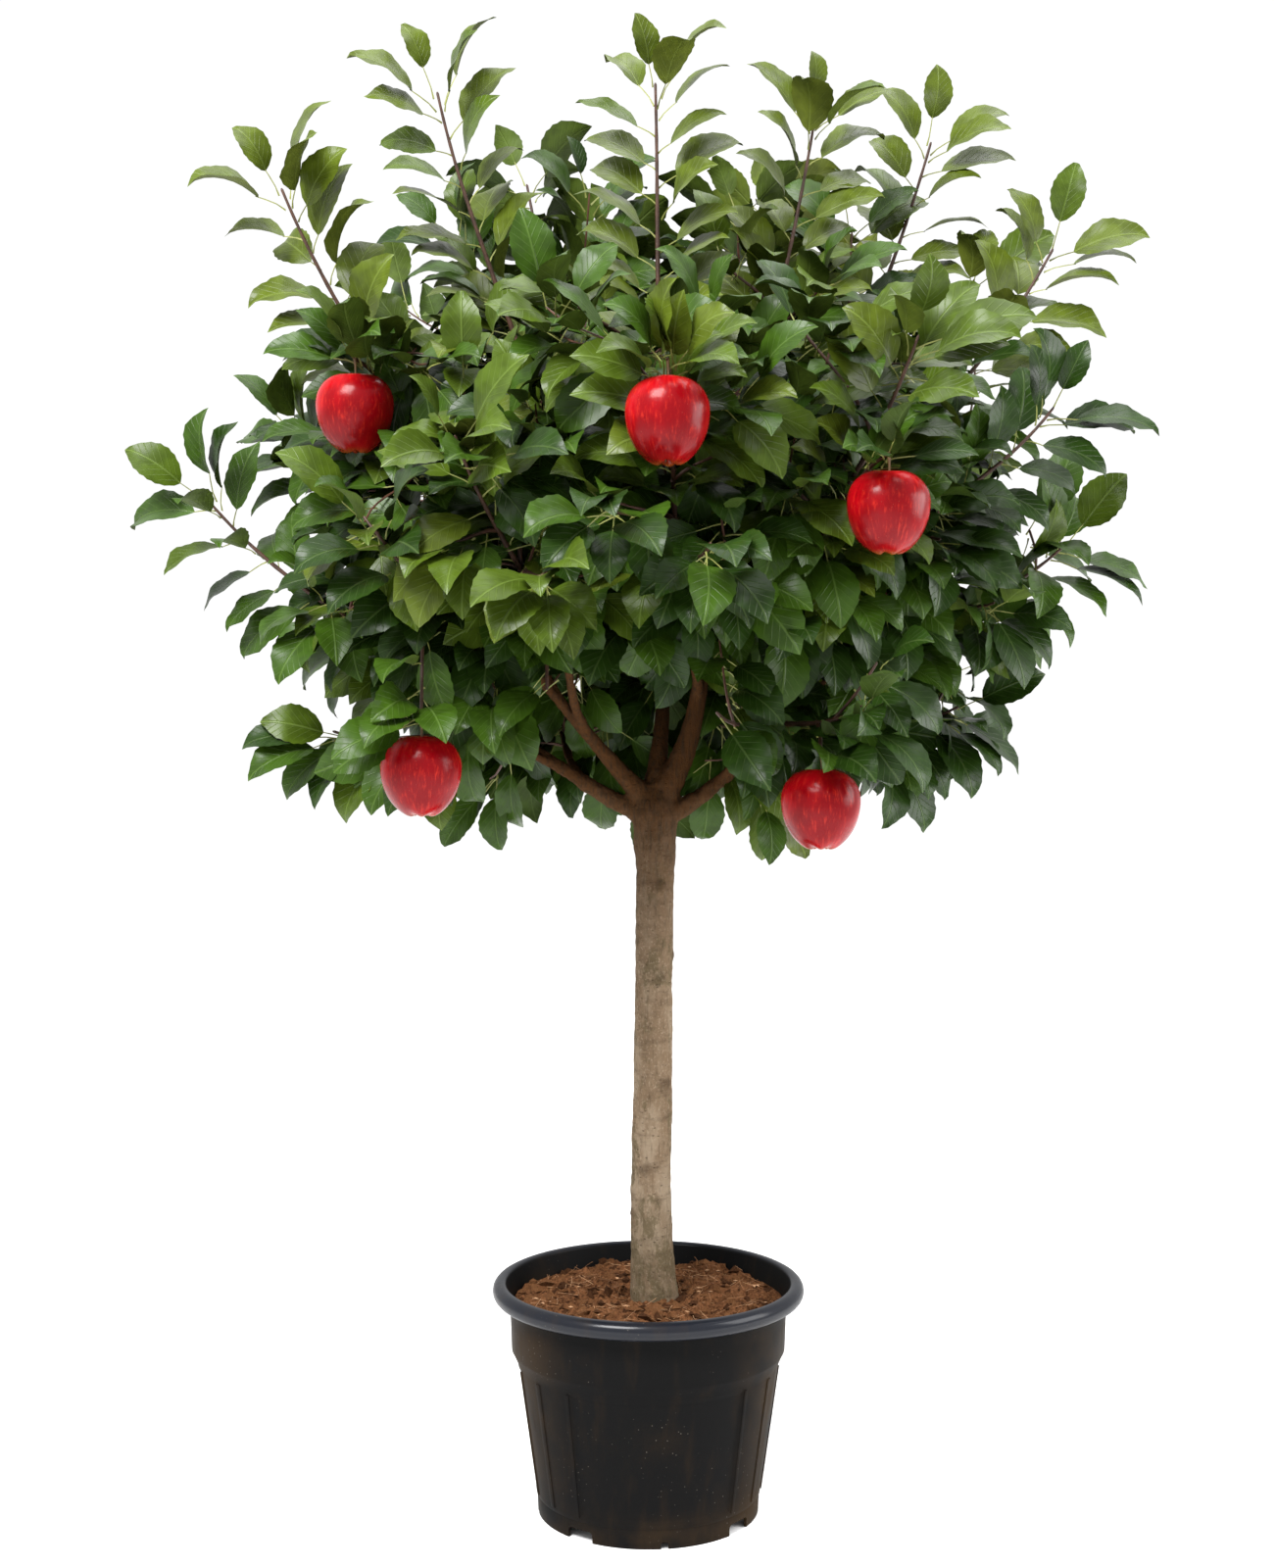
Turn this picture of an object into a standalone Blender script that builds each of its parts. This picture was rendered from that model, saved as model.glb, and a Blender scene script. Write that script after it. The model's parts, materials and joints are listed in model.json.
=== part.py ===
"""Dwarf apple tree in a pot, at its real size in metres, +Z up.

The origin is the middle of the flat underside of the pot, on the ground.
-Y is the front of the tree and +X its right. The trunk stands in soil in the
pot. Five boughs leave its head and branch into twenty four, and each bough
ends where it enters a mass of foliage: one main shoot, side shoots that branch
from it by a seeded rule, leaves and apples, all fused into one solid that
keeps to its own part of the crown.
"""
import math
import random
from dataclasses import dataclass

import bmesh
import bpy
from mathutils import Vector
from mathutils.bvhtree import BVHTree
from mathutils.kdtree import KDTree

GAP = 0.0003
UP = Vector((0.0, 0.0, 1.0))
GOLDEN_ANGLE = math.pi * (3.0 - math.sqrt(5.0))

# Pot: a moulded nursery container with a rolled rim
POT_HEIGHT = 0.2395
RIM_RADIUS = 0.160
RIM_INNER_RADIUS = 0.1455
COLLAR_TOP_RADIUS = 0.1425
COLLAR_FOOT_RADIUS = 0.1405
COLLAR_FOOT_HEIGHT = 0.170
BODY_TOP_RADIUS = 0.1345
BODY_TOP_HEIGHT = 0.157
BODY_FOOT_RADIUS = 0.1155
FOOT_RADIUS = 0.1137
FOOT_HEIGHT = 0.0195
WALL = 0.0025
FLOOR_HEIGHT = 0.0150
SEAT_RADIUS = 0.030
PANEL_HALF_ANGLE = 41.5
RIDGE_ANGLE = 60.0
PANEL_TURN = 4.5
PANEL_RECESS = 0.0016
RIB_HEIGHT = 0.0012
WIDE_NOTCH = (0.030, 0.0115)
SMALL_NOTCH = (0.008, 0.0070)
FIRST_WIDE_NOTCH = -37.0
FIRST_SMALL_NOTCH = 8.0
NOTCH_REACH = 0.012
NOTCH_BELOW = 0.004
NOTCH_TOP_HALF = 0.36
RIDGE_HEIGHT = 0.0009
FLANK_RECESS = 0.0004
PANEL_ANGLES = (-24.0, -8.0, 8.0, 24.0)

# Rolled rim: height and radius, from the top of the collar round to the inner edge
RIM_OUTLINE = (
    (0.2185, COLLAR_TOP_RADIUS),
    (0.2215, RIM_RADIUS - 0.0020),
    (0.2290, RIM_RADIUS),
    (0.2365, RIM_RADIUS - 0.0030),
    (POT_HEIGHT, RIM_RADIUS - 0.0090),
    (POT_HEIGHT - 0.0010, RIM_INNER_RADIUS),
    (0.2200, COLLAR_TOP_RADIUS - WALL),
)

# Soil
SOIL_HEIGHT = 0.2220
SOIL_EDGE_HEIGHT = 0.2195
SOIL_FLAT_RADIUS = 0.060

# Trunk: height, sideways offset of its middle, diameter
TRUNK_STATIONS = (
    (SOIL_HEIGHT + GAP, 0.0062, 0.0508),
    (0.2380, 0.0051, 0.0470),
    (0.2600, 0.0044, 0.0443),
    (0.3300, 0.0026, 0.0413),
    (0.4300, 0.0046, 0.0402),
    (0.5600, 0.0060, 0.0382),
    (0.6600, 0.0068, 0.0384),
    (0.6980, 0.0069, 0.0440),
    (0.7280, 0.0069, 0.0472),
    (0.7460, 0.0072, 0.0410),
    (0.7560, 0.0074, 0.0250),
)
TRUNK_SIDES = 14
TRUNK_STEP = 0.060

# Boughs and shoots
BOUGH_SIDES = 6
BOUGH_STEP = 0.048
BOUGH_TIP_DIAMETER = 0.0078
SWELL = 0.22
SWELL_LENGTH = 0.014
SHOOT_STEP = 0.080
SHOOT_DIAMETER = 0.0052
SHOOT_TIP_DIAMETER = 0.0030
WHIP_TIP_DIAMETER = 0.0036
SPUR_DIAMETER = 0.0050
CURVE_STEPS = 24
NEAR_LIMBS = 0.06
NEAR_HEIGHTS = 0.02

# The even, leafy head that the whips stand out of
HEAD_CENTRE = Vector((0.008, 0.0, 1.020))
HEAD_RADII = (0.365, 0.365, 0.265)
HEAD_SHELLS = ((1.00, 72), (0.70, 26))
LOWEST_SHOOT = 0.775
TARGET_MARGIN = 0.010
SHOOT_MARGIN = 0.005
SHOOT_SPACE = 0.009
SHOOT_FREE_FOOT = 0.022
SHOOT_LEANS = (0.6, 0.3, 0.9, 1.3)
LIMB_MARGIN = 0.003
LIMB_SEARCH = 0.035
LIMB_POINTS = 6
APPLE_MARGIN = 0.006
SPACE_STEP = 0.012
SHORTEST_SHOOT = 0.045

# Leaves, larger than life because they are fewer
LEAF_LENGTH = 0.116
LEAF_WIDTH = 0.066
LEAF_SPACING = 0.053
FIRST_LEAF = 0.030
ROSETTE = 2
ROSETTE_STEP = 0.015
LEAF_WIDEST = 0.56
LEAF_EDGE_LIFT = 0.070
LEAF_RIB_LIFT = 0.044
LEAF_FACES = ((0, 1, 3), (1, 4, 3), (4, 2, 3), (2, 0, 3), (0, 4, 1), (0, 2, 4))
LEAF_TRIES = 10
LEAF_STALK = 0.07
LEAF_MARGIN = -0.040
LEAF_APPLE_MARGIN = 0.003
NEAR_LEAVES = 1.3
TIP_LIFT = 0.75
HANGING_HEIGHT = 0.76
UPRIGHT_HEIGHT = 1.32

# Apples: radius and height from the middle, from the hollow at the top down to the eye
APPLE_OUTLINE = (
    (0.0200, 0.0365),
    (0.0340, 0.0235),
    (0.0370, 0.0040),
    (0.0300, -0.0220),
    (0.0165, -0.0365),
)
APPLE_HOLLOW = 0.0290
APPLE_EYE = -0.0320
APPLE_SIDES = 8
APPLE_RADIUS = 0.0370
STALK_LENGTH = 0.014
APPLE_ROSETTE = 4


@dataclass(frozen=True)
class Branch:
    """A bough, with the mass of foliage that its tip enters."""

    name: str
    parent: str
    along: float
    tip: tuple
    whip: tuple
    diameter: float
    leave: tuple = ()


@dataclass(frozen=True)
class Extra:
    """A second named shoot of a mass, from a place along its main shoot to its own tip."""

    mass: str
    along: float
    tip: tuple


@dataclass(frozen=True)
class Apple:
    """An apple that hangs from a short spur off its mass's main shoot."""

    mass: str
    along: float
    centre: tuple


# parent "trunk": along is the height where the bough leaves, and leave its first bearing and climb
BRANCHES = (
    Branch("leader", "trunk", 0.730, (0.070, -0.005, 0.985), (0.166, 0.000, 1.415), 0.0260, (0, 52)),
    Branch("centre_back", "trunk", 0.736, (0.020, 0.135, 0.915), (0.000, 0.380, 1.110), 0.0195, (72, 76)),
    Branch("left_mid", "trunk", 0.726, (-0.118, -0.085, 0.868), (-0.244, -0.270, 0.992), 0.0190, (190, 44)),
    Branch("left_low", "trunk", 0.712, (-0.205, -0.035, 0.852), (-0.437, -0.050, 1.036), 0.0175, (182, 26)),
    Branch("right_low", "trunk", 0.714, (0.185, -0.030, 0.862), (0.412, -0.050, 0.990), 0.0175, (-4, 18)),
    Branch("left_under", "left_low", 0.42, (-0.178, -0.080, 0.800), (-0.307, -0.085, 0.806), 0.0100),
    Branch("left_high", "left_low", 0.62, (-0.205, 0.055, 0.925), (-0.365, 0.045, 1.112), 0.0100),
    Branch("back_low_left", "left_low", 0.30, (-0.100, 0.120, 0.812), (-0.195, 0.290, 0.868), 0.0100),
    Branch("left_tall", "left_mid", 0.72, (-0.160, -0.050, 0.985), (-0.351, -0.100, 1.325), 0.0110),
    Branch("front_left", "left_mid", 0.52, (-0.085, -0.165, 0.895), (-0.168, -0.330, 1.069), 0.0110),
    Branch("top_left", "left_mid", 0.86, (-0.085, -0.015, 1.010), (-0.207, -0.040, 1.430), 0.0110),
    Branch("back_left", "centre_back", 0.55, (-0.115, 0.145, 0.930), (-0.275, 0.285, 1.120), 0.0110),
    Branch("back_right", "centre_back", 0.64, (0.130, 0.150, 0.940), (0.290, 0.265, 1.140), 0.0110),
    Branch("top_back_left", "centre_back", 0.80, (-0.040, 0.100, 1.035), (-0.130, 0.180, 1.385), 0.0105),
    Branch("top_back_right", "centre_back", 0.90, (0.075, 0.125, 1.040), (0.130, 0.215, 1.370), 0.0105),
    Branch("right_tall", "leader", 0.60, (0.135, 0.045, 1.010), (0.292, 0.080, 1.408), 0.0120),
    Branch("top_centre", "leader", 0.72, (0.022, -0.065, 1.035), (0.006, -0.100, 1.424), 0.0115),
    Branch("front_centre", "leader", 0.44, (0.030, -0.150, 0.925), (0.017, -0.345, 1.125), 0.0120),
    Branch("right_high", "leader", 0.50, (0.170, -0.020, 0.985), (0.399, -0.030, 1.280), 0.0115),
    Branch("right_mid", "right_low", 0.72, (0.190, -0.090, 0.945), (0.384, -0.125, 1.115), 0.0100),
    Branch("right_under", "right_low", 0.48, (0.165, 0.010, 0.800), (0.310, -0.020, 0.828), 0.0095),
    Branch("front_right", "right_low", 0.55, (0.120, -0.145, 0.905), (0.235, -0.290, 1.160), 0.0105),
    Branch("front_low_right", "right_low", 0.34, (0.100, -0.115, 0.808), (0.190, -0.255, 0.835), 0.0095),
    Branch("back_low_right", "right_low", 0.40, (0.115, 0.125, 0.820), (0.225, 0.275, 0.875), 0.0095),
)
EXTRAS = (
    Extra("front_left", 0.35, (-0.087, -0.385, 0.955)),
    Extra("front_centre", 0.42, (-0.040, -0.395, 1.010)),
    Extra("front_centre", 0.22, (0.050, -0.390, 0.975)),
    Extra("front_low_right", 0.10, (0.060, -0.270, 0.830)),
)
APPLES = (
    Apple("left_tall", 0.30, (-0.273, -0.180, 1.105)),
    Apple("front_centre", 0.72, (0.014, -0.390, 1.077)),
    Apple("front_right", 0.38, (0.208, -0.310, 1.006)),
    Apple("left_mid", 0.62, (-0.207, -0.250, 0.772)),
    Apple("front_low_right", 0.62, (0.155, -0.250, 0.742)),
    Apple("back_left", 0.62, (-0.255, 0.300, 1.020)),
    Apple("back_right", 0.55, (0.245, 0.275, 1.030)),
    Apple("centre_back", 0.72, (0.010, 0.370, 0.975)),
    Apple("back_low_right", 0.70, (0.175, 0.290, 0.765)),
)


def material(name, colour, roughness):
    """A plain Principled material; colour is linear."""
    made = bpy.data.materials.new(name)
    made.use_nodes = True
    shader = made.node_tree.nodes["Principled BSDF"]
    shader.inputs["Base Color"].default_value = (*colour, 1.0)
    shader.inputs["Roughness"].default_value = roughness
    shader.inputs["Metallic"].default_value = 0.0
    return made


def add_object(name, corners, faces, finish):
    """An object of the given corners and faces, in the scene."""
    mesh = bpy.data.meshes.new(name)
    mesh.from_pydata([tuple(corner) for corner in corners], [], faces)
    mesh.materials.append(finish)
    made = bpy.data.objects.new(name, mesh)
    bpy.context.scene.collection.objects.link(made)
    return made


def remove(made):
    """Take an object and its mesh out of the file."""
    mesh = made.data
    bpy.data.objects.remove(made)
    bpy.data.meshes.remove(mesh)


def apply_boolean(made, operation, other=None, collection=None):
    """Apply one Boolean to an object, with an object or a whole collection."""
    cut = made.modifiers.new("cut", "BOOLEAN")
    cut.operation = operation
    if collection:
        cut.operand_type = "COLLECTION"
        cut.collection = collection
    else:
        cut.object = other
    for solver in ("EXACT", "MANIFOLD"):
        cut.solver = solver
        bpy.context.view_layer.update()
        graph = bpy.context.evaluated_depsgraph_get()
        result = bpy.data.meshes.new_from_object(made.evaluated_get(graph))
        if is_closed(result):
            break
    made.modifiers.clear()
    old = made.data
    made.data = result
    bpy.data.meshes.remove(old)
    result.name = made.name


def is_closed(data):
    """True where every edge of a mesh joins exactly two faces."""
    mesh = bmesh.new()
    mesh.from_mesh(data)
    closed = len(mesh.faces) > 0 and all(edge.is_manifold for edge in mesh.edges)
    mesh.free()
    return closed


def shells(mesh):
    """The separate closed shells of a bmesh, as lists of faces."""
    left = set(mesh.faces)
    found = []
    while left:
        start = left.pop()
        group = [start]
        queue = [start]
        while queue:
            face = queue.pop()
            for edge in face.edges:
                for near in edge.link_faces:
                    if near in left:
                        left.remove(near)
                        group.append(near)
                        queue.append(near)
        found.append(group)
    return found


def keep_main_shell(made):
    """Keep the largest shell: loose scraps are dropped and sealed hollows filled."""
    mesh = bmesh.new()
    mesh.from_mesh(made.data)
    found = sorted(shells(mesh), key=lambda group: sum(face.calc_area() for face in group))
    scraps = [face for group in found[:-1] for face in group]
    bmesh.ops.delete(mesh, geom=scraps, context="FACES")
    mesh.to_mesh(made.data)
    mesh.free()


def direction(bearing, climb):
    """A unit vector from a bearing (0 = +X, 90 = +Y) and a climb, both in degrees."""
    flat = math.cos(math.radians(climb))
    return Vector((flat * math.cos(math.radians(bearing)), flat * math.sin(math.radians(bearing)),
                   math.sin(math.radians(climb))))


class Curve:
    """A smooth curve between two points that leaves and arrives in given directions."""

    def __init__(self, start, out, end, into, reach=0.36):
        span = (end - start).length * reach
        self.points = (start, start + out * span, end - into * span, end)
        steps = [self.at(step / CURVE_STEPS) for step in range(CURVE_STEPS + 1)]
        self.length = sum((b - a).length for a, b in zip(steps, steps[1:]))

    def at(self, along):
        a, b, c, d = self.points
        left = 1.0 - along
        return a * left ** 3 + b * (3 * left * left * along) + c * (3 * left * along ** 2) + d * along ** 3

    def heading(self, along):
        a, b, c, d = self.points
        left = 1.0 - along
        slope = (b - a) * left ** 2 + (c - b) * (2 * left * along) + (d - c) * along ** 2
        return slope.normalized()

    def sample(self, step):
        """Evenly numbered points, about a step apart."""
        count = max(2, round(self.length / step))
        return [self.at(index / count) for index in range(count + 1)]


def tube_shape(path, radii, sides, first=None, final=None):
    """Corners and faces of a tube along a path, its flat ends square to the headings given."""
    corners = []
    faces = []
    last = len(path) - 1
    headings = [(path[min(index + 1, last)] - path[max(index - 1, 0)]).normalized()
                for index in range(last + 1)]
    headings[0] = first or headings[0]
    headings[last] = final or headings[last]
    side = headings[0].orthogonal().normalized()
    for point, radius, heading in zip(path, radii, headings):
        side = (side - heading * side.dot(heading)).normalized()
        other = heading.cross(side)
        for turn in range(sides):
            angle = 2 * math.pi * turn / sides
            corners.append(point + (side * math.cos(angle) + other * math.sin(angle)) * radius)
    for ring in range(last):
        for turn in range(sides):
            a = ring * sides + turn
            b = ring * sides + (turn + 1) % sides
            faces.append((a, b, b + sides, a + sides))
    faces.append(tuple(range(sides - 1, -1, -1)))
    faces.append(tuple(last * sides + turn for turn in range(sides)))
    return corners, faces


def revolve_shape(outline, sides, top, bottom):
    """Corners and faces of a turned solid; the outline runs from its top down."""
    corners = [top]
    faces = []
    for radius, offset in outline:
        for turn in range(sides):
            angle = 2 * math.pi * turn / sides
            corners.append(Vector((radius * math.cos(angle), radius * math.sin(angle), offset)))
    corners.append(bottom)
    last = len(corners) - 1
    for turn in range(sides):
        after = (turn + 1) % sides
        faces.append((0, 1 + turn, 1 + after))
        for ring in range(len(outline) - 1):
            a = 1 + ring * sides
            faces.append((a + turn, a + sides + turn, a + sides + after, a + after))
        faces.append((last, last - sides + after, last - sides + turn))
    return corners, faces


@dataclass
class Limb:
    """A trunk or bough as its middle line with the radius at each point."""

    name: str
    path: list
    radii: list
    sides: int
    curve: Curve = None

    def shape(self, path, radii):
        """Corners and faces of the limb; a bough's tip is square to its curve."""
        final = self.curve.heading(1.0) if self.curve else UP
        return tube_shape(path, radii, self.sides, self.curve.heading(0.0) if self.curve else UP, final)

    def build(self, finish):
        return add_object(self.name, *self.shape(self.path, self.radii), finish)

    def keep_out(self, finish):
        """The limb's own shape, larger all round by the gap."""
        first = (self.path[0] - self.path[1]).normalized() * GAP
        last = (self.path[-1] - self.path[-2]).normalized() * GAP
        path = [self.path[0] + first, *self.path[1:-1], self.path[-1] + last]
        swollen = [radius + GAP for radius in self.radii]
        return add_object("keep_out_" + self.name, *self.shape(path, swollen), finish)


def trunk_limb():
    """The trunk from its flat cut at the soil to its rounded head."""
    path = []
    radii = []
    for lower, upper in zip(TRUNK_STATIONS, TRUNK_STATIONS[1:]):
        count = max(1, round((upper[0] - lower[0]) / TRUNK_STEP))
        for step in range(count):
            share = step / count
            height, offset, diameter = (a + (b - a) * share for a, b in zip(lower, upper))
            path.append(Vector((offset, 0.0, height)))
            radii.append(diameter / 2)
    height, offset, diameter = TRUNK_STATIONS[-1]
    path.append(Vector((offset, 0.0, height)))
    radii.append(diameter / 2)
    return Limb("trunk", path, radii, TRUNK_SIDES)


def trunk_middle(height):
    """The middle of the trunk at a height."""
    for lower, upper in zip(TRUNK_STATIONS, TRUNK_STATIONS[1:]):
        if lower[0] <= height <= upper[0]:
            share = (height - lower[0]) / (upper[0] - lower[0])
            return Vector((lower[1] + (upper[1] - lower[1]) * share, 0.0, height))
    return Vector((TRUNK_STATIONS[-1][1], 0.0, height))


def bough_limb(branch, limbs):
    """A bough from inside its parent to the place where its mass begins."""
    tip = Vector(branch.tip)
    whip = Vector(branch.whip)
    if branch.parent == "trunk":
        start = trunk_middle(branch.along)
        out = direction(*branch.leave)
    else:
        parent = limbs[branch.parent]
        start = parent.curve.at(branch.along)
        out = (parent.curve.heading(branch.along) * 0.7 + (tip - start).normalized()).normalized()
    into = ((whip - tip).normalized() * 0.6 + (tip - start).normalized() * 0.4).normalized()
    curve = Curve(start, out, tip, into)
    count = max(3, round(curve.length / BOUGH_STEP))
    path = []
    radii = []
    for index in range(count + 1):
        along = index / count
        path.append(curve.at(along))
        radius = branch.diameter / 2 + (BOUGH_TIP_DIAMETER - branch.diameter) / 2 * along
        radii.append(radius * (1 + SWELL * math.exp(-along * curve.length / SWELL_LENGTH)))
    return Limb("bough_" + branch.name, path, radii, BOUGH_SIDES, curve)


@dataclass
class Shoot:
    """A twig of a mass: its curve, its radii at foot and tip, and whether it carries an apple."""

    curve: Curve
    foot: float
    tip: float
    leafy_from: float
    rosette: int
    apple: Apple = None

    def radius_at(self, along):
        return self.foot + (self.tip - self.foot) * along ** 0.8

    def spot(self, along):
        """The middle of the straight-sided twig at a share of its length."""
        path = self.curve.sample(SHOOT_STEP)
        place = along * (len(path) - 1)
        low = min(int(place), len(path) - 2)
        return path[low].lerp(path[low + 1], place - low)

    def shape(self):
        """Corners and faces of the three-sided twig, with the apple's stalk where it has one."""
        path = self.curve.sample(SHOOT_STEP)
        last = len(path) - 1
        radii = [self.radius_at(index / last) for index in range(last + 1)]
        if self.apple:
            path.append(Vector(self.apple.centre) + UP * (APPLE_HOLLOW - STALK_LENGTH))
            radii.append(self.tip)
        return tube_shape(path, radii, 3, self.curve.heading(0.0))


def side_shoot(main, target, lean):
    """A shoot that leaves a main shoot early enough to lean over to a target at a natural angle."""
    near = min((index / 40 for index in range(41)), key=lambda along: (main.curve.at(along) - target).length)
    back = lean * (main.curve.at(near) - target).length / main.curve.length
    along = max(SHOOT_FREE_FOOT / main.curve.length, near - back)
    start = main.spot(along)
    way = target - start
    out = (main.curve.heading(along) * 0.5 + way.normalized()).normalized()
    into = (way.normalized() + UP * 0.35).normalized()
    curve = Curve(start, out, target, into)
    foot = min(SHOOT_DIAMETER / 2, main.radius_at(along) * 0.9)
    return Shoot(curve, foot, SHOOT_TIP_DIAMETER / 2, 0.25, ROSETTE)


def named_shoot(main, along, tip, apple=None):
    """A shoot from a stated place on a main shoot to a stated tip."""
    along = max(SHOOT_FREE_FOOT / main.curve.length, along)
    start = main.spot(along)
    way = tip - start
    out = (main.curve.heading(along) * 0.4 + way.normalized()).normalized()
    rise = -0.3 if apple else 0.3
    into = (way.normalized() + UP * rise).normalized()
    foot = min(SPUR_DIAMETER / 2, main.radius_at(along) * 0.9)
    rosette = APPLE_ROSETTE if apple else ROSETTE + 1
    return Shoot(Curve(start, out, tip, into), foot, SHOOT_TIP_DIAMETER / 2, 0.35, rosette, apple)


class Crown:
    """The masses of foliage: who owns which space, and every shoot in it."""

    def __init__(self, limbs):
        self.limbs = limbs
        self.masses = {}
        for branch in BRANCHES:
            bough = limbs[branch.name]
            into = bough.curve.heading(1.0)
            start = Vector(branch.tip) + into * GAP
            whip = Vector(branch.whip)
            rise = ((whip - start).normalized() + UP * 0.35).normalized()
            curve = Curve(start, into, whip, rise)
            main = Shoot(curve, BOUGH_TIP_DIAMETER / 2, WHIP_TIP_DIAMETER / 2, 0.22, ROSETTE + 1)
            self.masses[branch.name] = [main]
        for extra in EXTRAS:
            shoots = self.masses[extra.mass]
            shoots.append(named_shoot(shoots[0], extra.along, Vector(extra.tip)))
        for apple in APPLES:
            shoots = self.masses[apple.mass]
            tip = Vector(apple.centre) + UP * (APPLE_OUTLINE[0][1] + STALK_LENGTH)
            shoots.append(named_shoot(shoots[0], apple.along, tip, apple))
        self.names = list(self.masses)
        self.spaces = self.tree_of_spaces()
        self.limb_points, self.limb_tree = self.tree_of_limbs()
        self.apples = [Vector(apple.centre) for apple in APPLES]
        self.add_side_shoots()

    def tree_of_spaces(self):
        """A lookup tree for each mass, of points along its named shoots."""
        trees = {}
        for name, shoots in self.masses.items():
            points = [point for shoot in shoots for point in shoot.curve.sample(SPACE_STEP)]
            tree = KDTree(len(points))
            for index, point in enumerate(points):
                tree.insert(point, index)
            tree.balance()
            trees[name] = tree
        return trees

    def tree_of_limbs(self):
        """One lookup tree of points along the trunk and boughs, with their radii."""
        points = []
        for limb in self.limbs.values():
            for (a, b), (start, end) in zip(zip(limb.path, limb.path[1:]), zip(limb.radii, limb.radii[1:])):
                for step in range(LIMB_POINTS):
                    share = step / (LIMB_POINTS - 1)
                    points.append((a + (b - a) * share, start + (end - start) * share))
        tree = KDTree(len(points))
        for index, (point, _) in enumerate(points):
            tree.insert(point, index)
        tree.balance()
        return points, tree

    def room(self, name, point):
        """How much nearer a point is to its own mass than to any other."""
        own = self.spaces[name].find(point)[2]
        return min(tree.find(point)[2] for other, tree in self.spaces.items() if other != name) - own

    def clear_of_limbs(self, point, margin):
        for _, index, distance in self.limb_tree.find_range(point, LIMB_SEARCH):
            if distance < self.limb_points[index][1] + margin:
                return False
        return True

    def clear_of_apples(self, point, margin):
        return all((point - centre).length > APPLE_RADIUS + margin for centre in self.apples)

    def targets(self):
        """Points spread evenly over the shells of the head."""
        for share, count in HEAD_SHELLS:
            for index in range(count):
                height = 1.0 - 2.0 * (index + 0.5) / count
                flat = math.sqrt(1.0 - height * height)
                turn = GOLDEN_ANGLE * index
                offset = Vector((flat * math.cos(turn) * HEAD_RADII[0],
                                 flat * math.sin(turn) * HEAD_RADII[1], height * HEAD_RADII[2]))
                point = HEAD_CENTRE + offset * share
                if point.z > LOWEST_SHOOT:
                    yield point

    def add_side_shoots(self):
        """Grow a side shoot to each target that its mass can reach in its own space."""
        placed = [point for shoots in self.masses.values() for shoot in shoots
                  for point in shoot.curve.sample(SPACE_STEP)]
        for target in self.targets():
            name = min(self.names, key=lambda each: self.spaces[each].find(target)[2])
            if self.room(name, target) < TARGET_MARGIN or self.spaces[name].find(target)[2] < SHORTEST_SHOOT:
                continue
            for lean in SHOOT_LEANS:
                shoot = side_shoot(self.masses[name][0], target, lean)
                path = shoot.curve.sample(SPACE_STEP)
                fits = all(self.room(name, point) > SHOOT_MARGIN and self.clear_of_limbs(point, LIMB_MARGIN)
                           and self.clear_of_apples(point, APPLE_MARGIN) for point in path[1:])
                fits = fits and all((point - other).length > SHOOT_SPACE
                                    for point in path[3:] for other in placed)
                if fits:
                    self.masses[name].append(shoot)
                    placed.extend(path)
                    break


def leaf_corners(root, along, face, length, width):
    """The five corners of a folded, arched leaf: its root, its two edges, its midrib and its tip."""
    side = face.cross(along) * (width / 2)
    wide = root + along * (LEAF_WIDEST * length) + face * (LEAF_EDGE_LIFT * length)
    rib = root + along * (0.5 * length) + face * (LEAF_RIB_LIFT * length)
    return [root, wide - side, wide + side, rib, root + along * length]


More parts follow.
